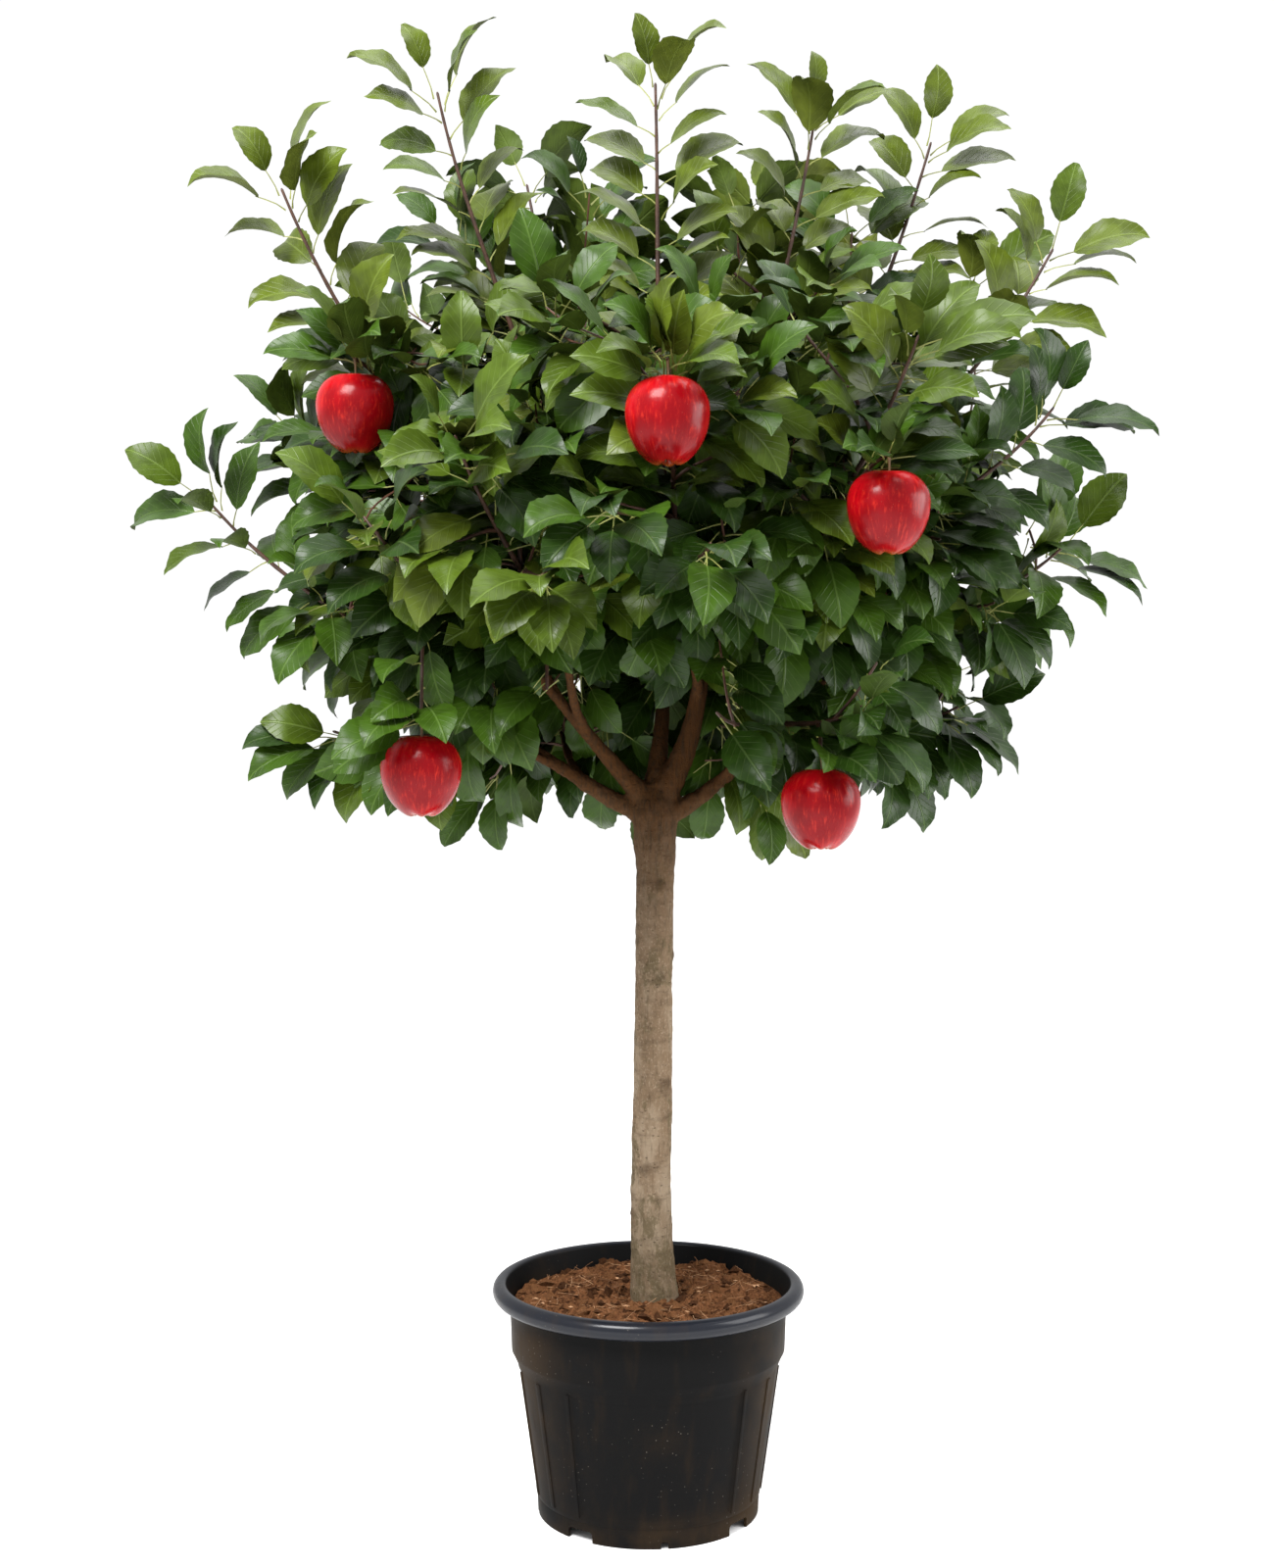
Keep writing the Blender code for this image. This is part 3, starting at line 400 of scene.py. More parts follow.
@dataclass(frozen=True)
class AppleSkin:
    """Red apple skin: streaked, darker on its shaded cheek, with its yellow-green ground colour at its eye
    and stalk hollow darkened as painted shade.
    """

    number: int
    centre: tuple
    red: Colour = display(158, 6, 16)
    deep: Colour = display(104, 2, 8)
    bright: Colour = display(188, 46, 30)
    # the apple's own ground colour, darkened as painted shade under the apple and in its stalk hollow
    ground_and_shade: Colour = display(112, 74, 22)
    dot: Colour = display(196, 138, 112)

    def make(self) -> Material:
        """The material."""
        paint = Paint(f"apple_skin_{self.number}", 0.24, Specular_IOR_Level=0.13)
        x, y, z = paint.axes(paint.place(self.centre))
        reach = (x * x + y * y).math("SQRT").math("MAXIMUM", 0.004)
        parts = {0: x.math("DIVIDE", reach), 1: y.math("DIVIDE", reach), 2: z * 7.0 + float(self.number)}
        streaks = paint.noise(paint.node("ShaderNodeCombineXYZ", {}, parts), 13.0, 5.0, 0.70)
        cheek = paint.noise(paint.place(self.centre), 13.0, 2.0)
        colour = paint.mix(cheek.between(0.38, 0.62), self.red, self.deep)
        colour = paint.mix(streaks.between(0.50, 0.72) * 0.40, colour, self.bright)
        colour = paint.mix(streaks.between(0.48, 0.30) * 0.55, colour, self.deep)
        dots = paint.cells(paint.place(self.centre), 230.0).between(0.07, 0.03)
        colour = paint.mix(dots * 0.25, colour, self.dot)
        low = (z * -1.0 + streaks * 0.008).between(0.036, 0.044)
        hollow = reach.between(0.015, 0.005) * z.between(0.0, 0.01)
        # the bottom and the stalk hollow take the ground colour, darkened as painted shade
        paint.colour(paint.mix(low.math("MAXIMUM", hollow) * 0.85, colour, self.ground_and_shade))
        paint.bump(paint.noise(paint.place(self.centre), 380.0, 2.0), 0.00012)
        return paint.material


@dataclass(frozen=True)
class PlainFinish:
    """A small part's finish: one colour with a faint mottle."""

    name: str
    colour: Colour
    roughness: float = 0.7
    mottle: float = 0.25

    def make(self) -> Material:
        """The material."""
        paint = Paint(self.name, self.roughness)
        tone = paint.noise(paint.place(), 160.0, 2.0)
        dark = tuple(value * (1.0 - self.mottle) for value in self.colour)
        paint.colour(paint.mix(tone.between(0.35, 0.65), dark, self.colour))
        return paint.material


def deselect() -> None:
    """Leave object mode with nothing selected."""
    if bpy.context.object and bpy.context.object.mode != "OBJECT":
        bpy.ops.object.mode_set(mode="OBJECT")
    bpy.ops.object.select_all(action="DESELECT")


def activate(piece: Piece) -> None:
    """Make a piece the only one selected, and active."""
    deselect()
    piece.select_set(True)
    bpy.context.view_layer.objects.active = piece


def linked(name: str, data: bpy.types.ID) -> Piece:
    """A new object in the scene, made from its data."""
    made = bpy.data.objects.new(name, data)
    bpy.context.scene.collection.objects.link(made)
    return made


def joined(pieces: Sequence[Piece]) -> Piece:
    """The first of some pieces, with all the others joined into it."""
    activate(pieces[0])
    for piece in pieces[1:]:
        piece.select_set(True)
    bpy.ops.object.join()
    return pieces[0]


def edit_corners(piece: Piece) -> None:
    """Enter edit mode on a piece with all its corners selected."""
    activate(piece)
    bpy.ops.object.mode_set(mode="EDIT")
    bpy.ops.mesh.select_mode(type="VERT")
    bpy.ops.mesh.select_all(action="SELECT")


def face_outwards() -> None:
    """Turn the selected faces outwards and leave edit mode."""
    bpy.ops.mesh.normals_make_consistent(inside=False)
    bpy.ops.object.mode_set(mode="OBJECT")


def apply_modifier(piece: Piece, kind: str, **settings: object) -> None:
    """Add a modifier to a piece and apply it.

    Args:
        piece: the object.
        kind: the modifier's type.
        settings: its settings.
    """
    activate(piece)
    modifier = piece.modifiers.new(kind.lower(), kind)
    for name, value in settings.items():
        setattr(modifier, name, value)
    bpy.ops.object.modifier_apply(modifier=modifier.name)


def choose_faces(piece: Piece, test: Callable[[Vector], bool]) -> None:
    """Enter edit mode on a piece with the faces selected whose middle passes a test.

    Args:
        piece: the object, which becomes active.
        test: says whether a face with that middle is wanted.
    """
    activate(piece)
    bpy.ops.object.mode_set(mode="EDIT")
    bpy.ops.mesh.select_mode(type="FACE")
    bpy.ops.mesh.select_all(action="DESELECT")
    bpy.ops.object.mode_set(mode="OBJECT")
    for face in piece.data.polygons:
        face.select = test(face.center)
    bpy.ops.object.mode_set(mode="EDIT")


def turned(name: str, rings: Sequence[Pair], segments: int,
           offsets: Sequence[float] | None = None) -> Piece:
    """A closed round shape, drawn up ring by ring from a first circle.

    Args:
        name: the object's name.
        rings: radius and height of each ring in turn.
        segments: corners of each ring.
        offsets: sideways place of each ring's middle, or none.

    Returns:
        The object, at the origin.
    """
    offsets = offsets or [0.0] * len(rings)
    deselect()
    bpy.ops.mesh.primitive_circle_add(vertices=segments, radius=rings[0][0], fill_type="NOTHING",
                                      location=(0, 0, 0))
    piece = bpy.context.object
    piece.name = name
    edit_corners(piece)
    bpy.ops.transform.translate(value=(offsets[0], 0, rings[0][1]))
    for index in range(1, len(rings)):
        (before, low), (radius, height) = rings[index - 1], rings[index]
        step = (offsets[index] - offsets[index - 1], 0, height - low)
        bpy.ops.mesh.extrude_region_move(TRANSFORM_OT_translate={"value": step})
        share = radius / before
        bpy.ops.transform.resize(value=(share, share, 1.0))
    bpy.ops.mesh.select_all(action="SELECT")
    bpy.ops.mesh.fill_holes(sides=0)
    bpy.ops.mesh.select_all(action="SELECT")
    face_outwards()
    piece.data.name = name
    return piece


def arc(centre: Pair, radii: Pair, first: float, last: float,
        steps: int) -> list[Pair]:
    """Radius and height of points on an arc of an ellipse, from one angle to another in degrees, 90 up."""
    angles = [radians(first + (last - first) * step / steps) for step in range(steps + 1)]
    return [(centre[0] + radii[0] * cos(a), centre[1] + radii[1] * sin(a)) for a in angles]


def smooth(piece: Piece, angle: float) -> None:
    """Shade a piece smooth, but sharp across edges over an angle in degrees."""
    activate(piece)
    bpy.ops.object.shade_smooth_by_angle(angle=radians(angle))


def move_corners(piece: Piece, move: Callable[[Vector, Vector], Vector]) -> None:
    """Move every corner of a mesh.

    Args:
        piece: the object.
        move: gives a corner's new place from its place and its normal.
    """
    mesh = piece.data
    normals = [Vector(normal.vector) for normal in mesh.vertex_normals]
    for corner, normal in zip(mesh.vertices, normals):
        corner.co = move(corner.co.copy(), normal)
    mesh.update()


def dress(piece: Piece, *finishes: Material) -> None:
    """Give a piece its materials in place of any it has."""
    piece.data.materials.clear()
    for finish in finishes:
        piece.data.materials.append(finish)


def hand_in(piece: Piece, slot: Slot, nodes: Sequence[str]) -> None:
    """Hand a finished piece to the frame.

    Args:
        piece: the object.
        slot: the record's slot for its finish; not used.
        nodes: the nodes of the frame that it stands for.
    """
    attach(piece, "root")
    if nodes:
        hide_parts(*nodes)
    log.info("%s: %d faces", piece.name, len(piece.data.polygons))


class Batch:
    """Many small shapes gathered from arrays into one mesh."""

    def __init__(self) -> None:
        """Start with nothing."""
        self.corners: list[np.ndarray] = []
        self.loops: list[np.ndarray] = []
        self.sizes: list[np.ndarray] = []
        self.finishes: list[np.ndarray] = []
        self.uvs: list[np.ndarray] = []
        self.count = 0

    def add(self, corners: np.ndarray, shape: "Shape", finish: np.ndarray | int) -> None:
        """Add one shape.

        Args:
            corners: its corner points.
            shape: its faces.
            finish: the material number of each face, or one for all.
        """
        self.corners.append(corners)
        self.loops.append(shape.loops + self.count)
        self.sizes.append(shape.sizes)
        self.finishes.append(np.broadcast_to(finish, shape.sizes.shape))
        self.uvs.append(shape.uv[shape.loops])
        self.count += len(corners)

    def make(self, name: str, finishes: Sequence[Material], sharp: float) -> Piece:
        """The joined object.

        Args:
            name: its name.
            finishes: its materials.
            sharp: edges over this angle in degrees stay sharp.

        Returns:
            The object.
        """
        corners, loops = np.concatenate(self.corners), np.concatenate(self.loops)
        sizes = np.concatenate(self.sizes)
        mesh = bpy.data.meshes.new(name)
        mesh.vertices.add(len(corners))
        mesh.vertices.foreach_set("co", corners.astype(np.float32).ravel())
        mesh.loops.add(len(loops))
        mesh.loops.foreach_set("vertex_index", loops.astype(np.int32))
        mesh.polygons.add(len(sizes))
        mesh.polygons.foreach_set("loop_start", (np.cumsum(sizes) - sizes).astype(np.int32))
        mesh.polygons.foreach_set("material_index", np.concatenate(self.finishes).astype(np.int32))
        layer = mesh.uv_layers.new(name="leaf")
        layer.data.foreach_set("uv", np.concatenate(self.uvs).astype(np.float32).ravel())
        for finish in finishes:
            mesh.materials.append(finish)
        mesh.update(calc_edges=True)
        mesh.shade_smooth()
        mesh.set_sharp_from_angle(angle=radians(sharp))
        return linked(name, mesh)


class Shape:
    """The faces of a small shape, and the place of its corners on its pattern."""

    def __init__(self, faces: Sequence[Sequence[int]], uv: Sequence[Pair]) -> None:
        """Keep faces without their repeated corners.

        Args:
            faces: corner numbers of each face; a repeated corner is dropped.
            uv: each corner's place on the pattern.
        """
        kept = [tuple(dict.fromkeys(face)) for face in faces]
        kept = [face for face in kept if len(face) > 2]
        self.loops = np.array([corner for face in kept for corner in face])
        self.sizes = np.array([len(face) for face in kept])
        self.uv = np.array(uv, float)


def tube_faces(rings: int, sides: int, first: int = 0) -> list[tuple[int, ...]]:
    """Faces of a closed tube.

    Args:
        rings: how many rings of corners it has.
        sides: corners of each ring.
        first: the number of its first corner.

    Returns:
        The faces, with both ends closed.
    """
    faces = []
    for ring in range(rings - 1):
        for turn in range(sides):
            a = first + ring * sides + turn
            b = first + ring * sides + (turn + 1) % sides
            faces.append((a, b, b + sides, a + sides))
    last = first + (rings - 1) * sides
    faces.append(tuple(range(first + sides - 1, first - 1, -1)))
    faces.append(tuple(range(last, last + sides)))
    return faces


def tube_corners(path: Sequence[Vector], radii: Sequence[float], sides: int) -> np.ndarray:
    """Corners of a tube along a path.

    Args:
        path: points along its middle.
        radii: its radius at each point.
        sides: corners of each ring.

    Returns:
        The corners, ring by ring.
    """
    last = len(path) - 1
    side = (path[1] - path[0]).orthogonal().normalized()
    corners = []
    for index, (point, radius) in enumerate(zip(path, radii)):
        heading = (path[min(index + 1, last)] - path[max(index - 1, 0)]).normalized()
        side = (side - heading * side.dot(heading)).normalized()
        other = heading.cross(side)
        for turn in range(sides):
            angle = 2 * pi * turn / sides
            corners.append(point + (side * cos(angle) + other * sin(angle)) * radius)
    return np.array(corners, float)


@dataclass
class PotShell:
    """The nursery pot: a foot band with notches, a panelled body, a collar and a rolled rim."""

    height: float = 0.2395
    rim_radius: float = 0.160
    rim_inner: float = 0.1455
    bead_height: float = 0.2300
    collar_top: tuple = (0.1425, 0.2190)
    collar_foot: tuple = (0.1405, 0.1700)
    body_top: tuple = (0.1345, 0.1570)
    body_foot: tuple = (0.1155, 0.0215)
    foot_radius: float = 0.1137
    foot_height: float = 0.0195
    wall: float = 0.0025
    floor_height: float = 0.0150
    seat_radius: float = 0.030
    panel_half: float = 41.5
    panel_turn: float = 4.5
    panel_recess: float = 0.0016
    rib_height: float = 0.0012
    ridge_angle: float = 60.0
    rib_half: float = 0.8
    panel_edge: float = 1.6
    panel_slope: float = 0.0030
    notch_depth: float = 0.024
    notch_below: float = 0.006
    edge_round: float = 0.0004
    wide_notch: tuple = (0.030, 0.0115, -37.0)
    small_notch: tuple = (0.008, 0.0070, 8.0)
    segments: int = 240

    def outline(self) -> list[Pair]:
        """Radius and height round the wall, from the seat under the floor to the floor's middle inside."""
        under = self.floor_height - self.wall
        (foot_r, foot_z), (top_r, top_z) = self.body_foot, self.body_top
        bands = [(foot_r + (top_r - foot_r) * share, foot_z + (top_z - foot_z) * share)
                 for share in (0.0, 0.025, 0.06, 0.25, 0.5, 0.75, 0.94, 0.975, 1.0)]
        bead = arc((self.rim_radius - 0.0085, self.bead_height), (0.0085, 0.0092), -70.0, 90.0, 9)
        lip = arc((self.rim_inner + 0.0040, self.height - 0.0046), (0.0040, 0.0042), 90.0, 180.0, 4)
        return [
            (0.002, 0.0), (self.seat_radius, 0.0), (self.seat_radius + 0.004, under),
            (self.foot_radius - 0.0035, under), (self.foot_radius - 0.0030, 0.0),
            (self.foot_radius - 0.0006, 0.0), (self.foot_radius, 0.0006),
            (self.foot_radius + 0.0008, self.foot_height - 0.0006),
            (self.foot_radius + 0.0006, self.foot_height),
            *bands, (self.collar_foot[0] - 0.0016, self.collar_foot[1] - 0.0030), self.collar_foot,
            (self.collar_foot[0] + 0.0010, 0.200), self.collar_top, *bead, *lip,
            (self.collar_top[0] - self.wall, self.collar_top[1]),
            (self.collar_foot[0] - self.wall, self.collar_foot[1]),
            (self.body_top[0] - self.wall - self.panel_recess, self.body_top[1]),
            (self.body_foot[0] - self.wall - self.panel_recess, self.floor_height),
            (0.003, self.floor_height),
        ]

    def bearing(self, point: Vector) -> float:
        """Degrees from the nearest panel's middle, negative to its left."""
        angle = degrees(atan2(point.x, -point.y)) - self.panel_turn
        return (angle + 60.0) % 120.0 - 60.0

    def on_body(self, point: Vector) -> bool:
        """True on the outside of the body between its two edges."""
        span = self.body_top[1] - self.body_foot[1]
        share = (point.z - self.body_foot[1]) / span
        reach = self.body_foot[0] + (self.body_top[0] - self.body_foot[0]) * share
        return 0.03 < share < 0.97 and hypot(point.x, point.y) > reach - self.wall * 0.6

    def mould(self, piece: Piece) -> None:
        """Sink the panels, and raise the ribs at their edges and the ridges between them."""
        inner = self.panel_half - self.panel_edge
        choose_faces(piece, lambda p: self.on_body(p) and abs(self.bearing(p)) < inner)
        bpy.ops.mesh.inset(thickness=self.panel_slope, depth=-self.panel_recess, use_even_offset=True)
        self.raise_rib(piece, self.panel_half, self.rib_height)
        self.raise_rib(piece, self.ridge_angle, self.rib_height * 0.7)
        bpy.ops.object.mode_set(mode="OBJECT")

    def raise_rib(self, piece: Piece, angle: float, height: float) -> None:
        """Raise an upright rib on both sides of every panel's middle, at an angle from it in degrees."""
        choose_faces(piece, lambda p: self.on_body(p) and abs(abs(self.bearing(p)) - angle) < self.rib_half)
        bpy.ops.mesh.extrude_region_shrink_fatten(TRANSFORM_OT_shrink_fatten={"value": height})

    def notches(self) -> Piece:
        """The blocks that cut the drainage notches out of the foot band, joined."""
        blocks = []
        for width, height, first in (self.wide_notch, self.small_notch):
            for quarter in range(4):
                angle = radians(first + 90.0 * quarter)
                deselect()
                bpy.ops.mesh.primitive_cube_add(size=1.0)
                block = bpy.context.object
                tall = height + self.notch_below
                block.data.transform(Matrix.Diagonal((width, self.notch_depth, tall, 1.0)))
                apply_modifier(block, "BEVEL", width=min(width, height) * 0.35, segments=4)
                place = Vector((sin(angle), -cos(angle), 0.0)) * self.foot_radius
                place.z = tall / 2 - self.notch_below
                block.data.transform(Matrix.Translation(place) @ Matrix.Rotation(angle, 4, "Z"))
                blocks.append(block)
        return joined(blocks)

    def build(self) -> None:
        """Model, cut and dress the pot."""
        piece = turned("pot_shell", self.outline(), self.segments)
        self.mould(piece)
        cutter = self.notches()
        apply_modifier(piece, "BOOLEAN", operation="DIFFERENCE", object=cutter, solver="EXACT")
        bpy.data.objects.remove(cutter)
        apply_modifier(piece, "BEVEL", width=self.edge_round, segments=2, limit_method="ANGLE",
                       angle_limit=radians(32.0))
        smooth(piece, 35.0)
        dress(piece, PotPlastic().make())
        hand_in(piece, Slot.POT, ["pot"])


@dataclass
class CompostBed:
    """The compost: a lumpy bed with crumbs, fibres and chips lying on it."""

    surface: float = 0.2200
    edge_radius: float = 0.1396
    depth: float = 0.050
    foot_radius: float = 0.1370
    relief: float = 0.0135
    trunk_clearance: float = 0.026
    crumbs: int = 1300
    fibres: int = 520
    chips: int = 60
    finest_crumb: float = 0.0012
    crumb_range: float = 0.0075
    chip: tuple = (0.0018, 0.0036)
    fibre: tuple = (0.006, 0.024)
    fibre_radius: tuple = (0.00014, 0.00028)
    seed: int = 11

    def level(self, x: float, y: float) -> float:
        """Height of the bed at a place."""
        reach = hypot(x, y)
        lumps = noise.noise(Vector((x, y, 0.3)) * 75.0) + 0.6 * noise.noise(Vector((x, y, 1.7)) * 190.0)
        swell = 0.5 * noise.noise(Vector((x, y, 5.1)) * 22.0)
        heap = 0.0030 * exp(-((reach - 0.030) / 0.030) ** 2)
        sink = 0.0030 * max(0.0, (reach - 0.105) / 0.035) ** 2
        return self.surface + self.relief * (lumps * 0.55 + swell) + heap - sink

    def scatter(self, dice: Dice, count: int) -> Iterator[Vector]:
        """Places spread evenly over the bed, off the trunk."""
        for _ in range(count):
            reach = sqrt(dice.uniform(self.trunk_clearance ** 2, (self.edge_radius - 0.004) ** 2))
            turn = dice.uniform(0, 2 * pi)
            x, y = reach * cos(turn), reach * sin(turn)
            yield Vector((x, y, self.level(x, y)))

    def bed(self) -> Piece:
        """The bed itself, from its foot inside the pot over its lumpy top to the middle."""
        steps = 64
        rings = [(self.foot_radius, self.surface - self.depth), (self.edge_radius, self.surface - 0.004)]
        radii = [max(0.0012, self.edge_radius * (1 - step / steps)) for step in range(1, steps)]
        rings += [(radius, self.surface) for radius in radii]
        piece = turned("compost_bed", rings, 200)
        top = self.surface - 0.001

        def lump(place: Vector, _: Vector) -> Vector:
            """Lift a corner of the top to the bed's level."""
            if place.z > top:
                place.z = self.level(place.x, place.y)
            return place

        move_corners(piece, lump)
        smooth(piece, 70.0)
        return piece

    def crumb(self, dice: Dice, size: float) -> np.ndarray:
        """Corners of one rough crumb round the origin: a stretched, dented eight-sided lump."""
        base = np.array([(1, 0, 0), (-1, 0, 0), (0, 1, 0), (0, -1, 0), (0, 0, 1), (0, 0, -1)], float)
        stretch = np.array([dice.uniform(0.7, 1.5), dice.uniform(0.6, 1.1), dice.uniform(0.5, 0.9)]) * size
        corners = base * stretch * np.array([[dice.uniform(0.75, 1.25)] for _ in range(6)])
        turn = Matrix.Rotation(dice.uniform(0, 6.28), 3, "Z")
        tilt = Matrix.Rotation(dice.uniform(-0.7, 0.7), 3, "X")
        return corners @ np.array(turn @ tilt)

    def lay_crumbs(self, dice: Dice, litter: Batch) -> None:
        """Strew the crumbs, most of them fine, and then the chips, which are flat."""
        faces = [(0, 2, 4), (2, 1, 4), (1, 3, 4), (3, 0, 4), (2, 0, 5), (1, 2, 5), (3, 1, 5), (0, 3, 5)]
        lump = Shape(faces, [(0, 0)] * 6)
        for place in self.scatter(dice, self.crumbs):
            size = self.finest_crumb + self.crumb_range * dice.random() ** 3.5
            litter.add(self.crumb(dice, size) + np.array(place), lump, dice.choice((0, 0, 1)))
        for place in self.scatter(dice, self.chips):
            flat = self.crumb(dice, dice.uniform(*self.chip)) * np.array((1.3, 0.8, 0.45))
            litter.add(flat + np.array(place + UP * 0.001), lump, 2)

    def lay_fibres(self, dice: Dice, litter: Batch) -> None:
        """Strew bent fibres, each with one end up, and leave out those that would reach into the pot."""
        points, sides = 5, 3
        strand = Shape(tube_faces(points, sides), [(0, 0)] * (points * sides))
        for place in self.scatter(dice, self.fibres):
            length = dice.uniform(*self.fibre)
            bearing = dice.uniform(0, 2 * pi)
            way = Vector((cos(bearing), sin(bearing), dice.uniform(-0.15, 0.55))).normalized()
            bend = Vector((-way.y, way.x, dice.uniform(-0.5, 0.5))) * length * dice.uniform(-0.35, 0.35)
            shares = [index / (points - 1) for index in range(points)]
            path = [place + way * (length * (s - 0.3)) + bend * (s * s) + UP * 0.0008 for s in shares]
            if max(hypot(p.x, p.y) for p in path) > self.edge_radius - 0.002:
                continue
            radii = [dice.uniform(*self.fibre_radius)] * points
            litter.add(tube_corners(path, radii, sides), strand, dice.choice((2, 3, 3)))

    def build(self) -> None:
        """Model and dress the bed and what lies on it."""
        bed = self.bed()
        dress(bed, CompostFinish("compost_bed", display(30, 16, 7), display(112, 74, 48)).make())
        hand_in(bed, Slot.COMPOST, ["soil"])
        dice = Dice(self.seed)
        litter = Batch()
        self.lay_crumbs(dice, litter)
        self.lay_fibres(dice, litter)
        finishes = [
            CompostFinish("crumb_brown", display(66, 40, 23), display(108, 74, 48), 700.0).make(),
            CompostFinish("crumb_dark", display(36, 21, 12), display(70, 45, 28), 700.0).make(),
            PlainFinish("wood_chip", display(164, 124, 88), 0.85).make(),
            PlainFinish("coir_fibre", display(126, 86, 52), 0.85).make(),
        ]
        hand_in(litter.make("compost_litter", finishes, 30.0), Slot.COMPOST, ["soil"])


@dataclass(frozen=True)
class Branch:
    """A bough, with the mass of foliage that its tip enters."""

    name: str
    parent: str
    along: float
    tip: tuple
    whip: tuple
    diameter: float
    leave: tuple = ()


@dataclass(frozen=True)
class Extra:
    """A second named shoot of a mass, from a place along its main shoot to its own tip."""

    mass: str
    along: float
    tip: tuple


@dataclass(frozen=True)
class Apple:
    """An apple that hangs from a short spur off its mass's main shoot."""

    mass: str
    along: float
    centre: tuple


BRANCHES = (
    Branch("leader", "trunk", 0.730, (0.070, -0.005, 0.985), (0.166, 0.000, 1.415), 0.0260, (0, 52)),
    Branch("centre_back", "trunk", 0.736, (0.020, 0.135, 0.915), (0.000, 0.380, 1.110), 0.0195, (72, 76)),
    Branch("left_mid", "trunk", 0.726, (-0.118, -0.085, 0.868), (-0.244, -0.270, 0.992), 0.0190, (190, 44)),
    Branch("left_low", "trunk", 0.712, (-0.205, -0.035, 0.852), (-0.437, -0.050, 1.036), 0.0175, (182, 26)),
    Branch("right_low", "trunk", 0.714, (0.185, -0.030, 0.862), (0.412, -0.050, 0.990), 0.0175, (-4, 18)),
    Branch("left_under", "left_low", 0.42, (-0.178, -0.080, 0.800), (-0.307, -0.085, 0.806), 0.0100),
    Branch("left_high", "left_low", 0.62, (-0.205, 0.055, 0.925), (-0.365, 0.045, 1.112), 0.0100),
    Branch("back_low_left", "left_low", 0.30, (-0.100, 0.120, 0.812), (-0.195, 0.290, 0.868), 0.0100),
    Branch("left_tall", "left_mid", 0.72, (-0.160, -0.050, 0.985), (-0.351, -0.100, 1.325), 0.0110),
    Branch("front_left", "left_mid", 0.52, (-0.085, -0.165, 0.895), (-0.168, -0.330, 1.069), 0.0110),
    Branch("top_left", "left_mid", 0.86, (-0.085, -0.015, 1.010), (-0.207, -0.040, 1.430), 0.0110),
    Branch("back_left", "centre_back", 0.55, (-0.115, 0.145, 0.930), (-0.275, 0.285, 1.120), 0.0110),
    Branch("back_right", "centre_back", 0.64, (0.130, 0.150, 0.940), (0.290, 0.265, 1.140), 0.0110),
    Branch("top_back_left", "centre_back", 0.80, (-0.040, 0.100, 1.035), (-0.130, 0.180, 1.385), 0.0105),
    Branch("top_back_right", "centre_back", 0.90, (0.075, 0.125, 1.040), (0.130, 0.215, 1.370), 0.0105),
    Branch("right_tall", "leader", 0.60, (0.135, 0.045, 1.010), (0.292, 0.080, 1.408), 0.0120),
    Branch("top_centre", "leader", 0.72, (0.022, -0.065, 1.035), (0.006, -0.100, 1.424), 0.0115),
    Branch("front_centre", "leader", 0.44, (0.030, -0.150, 0.925), (0.017, -0.345, 1.125), 0.0120),
    Branch("right_high", "leader", 0.50, (0.170, -0.020, 0.985), (0.399, -0.030, 1.280), 0.0115),
    Branch("right_mid", "right_low", 0.72, (0.190, -0.090, 0.945), (0.384, -0.125, 1.115), 0.0100),
    Branch("right_under", "right_low", 0.48, (0.165, 0.010, 0.800), (0.310, -0.020, 0.828), 0.0095),
    Branch("front_right", "right_low", 0.55, (0.120, -0.145, 0.905), (0.235, -0.290, 1.160), 0.0105),
    Branch("front_low_right", "right_low", 0.34, (0.100, -0.115, 0.808), (0.190, -0.255, 0.835), 0.0095),
    Branch("back_low_right", "right_low", 0.40, (0.115, 0.125, 0.820), (0.225, 0.275, 0.875), 0.0095),
)
EXTRAS = (
    Extra("front_left", 0.35, (-0.087, -0.385, 0.955)),
    Extra("front_centre", 0.42, (-0.040, -0.395, 1.010)),
    Extra("front_centre", 0.22, (0.050, -0.390, 0.975)),
    Extra("front_low_right", 0.10, (0.060, -0.270, 0.830)),
)
APPLES = (
    Apple("left_tall", 0.30, (-0.273, -0.180, 1.105)),
    Apple("front_centre", 0.72, (0.014, -0.390, 1.077)),
    Apple("front_right", 0.38, (0.208, -0.310, 1.006)),
    Apple("left_mid", 0.62, (-0.207, -0.250, 0.772)),
    Apple("front_low_right", 0.62, (0.155, -0.250, 0.742)),
    Apple("back_left", 0.62, (-0.255, 0.300, 1.020)),
    Apple("back_right", 0.55, (0.245, 0.275, 1.030)),
    Apple("centre_back", 0.72, (0.010, 0.370, 0.975)),
    Apple("back_low_right", 0.70, (0.175, 0.290, 0.765)),
)
TRUNK_STATIONS = (
    (0.2223, 0.0062, 0.0508), (0.2380, 0.0051, 0.0470), (0.2600, 0.0044, 0.0443), (0.3300, 0.0026, 0.0413),
    (0.4300, 0.0046, 0.0402), (0.5600, 0.0060, 0.0382), (0.6600, 0.0068, 0.0384), (0.6980, 0.0069, 0.0440),
    (0.7280, 0.0069, 0.0472), (0.7460, 0.0072, 0.0410), (0.7560, 0.0074, 0.0250),
)
BOUGH_TIP_DIAMETER = 0.0078
APPLE_RADIUS = 0.0370


def direction(bearing: float, climb: float) -> Vector:
    """A unit vector from a bearing (0 = +X, 90 = +Y) and a climb, both in degrees."""
    flat, rise, turn = cos(radians(climb)), sin(radians(climb)), radians(bearing)
    return Vector((flat * cos(turn), flat * sin(turn), rise))


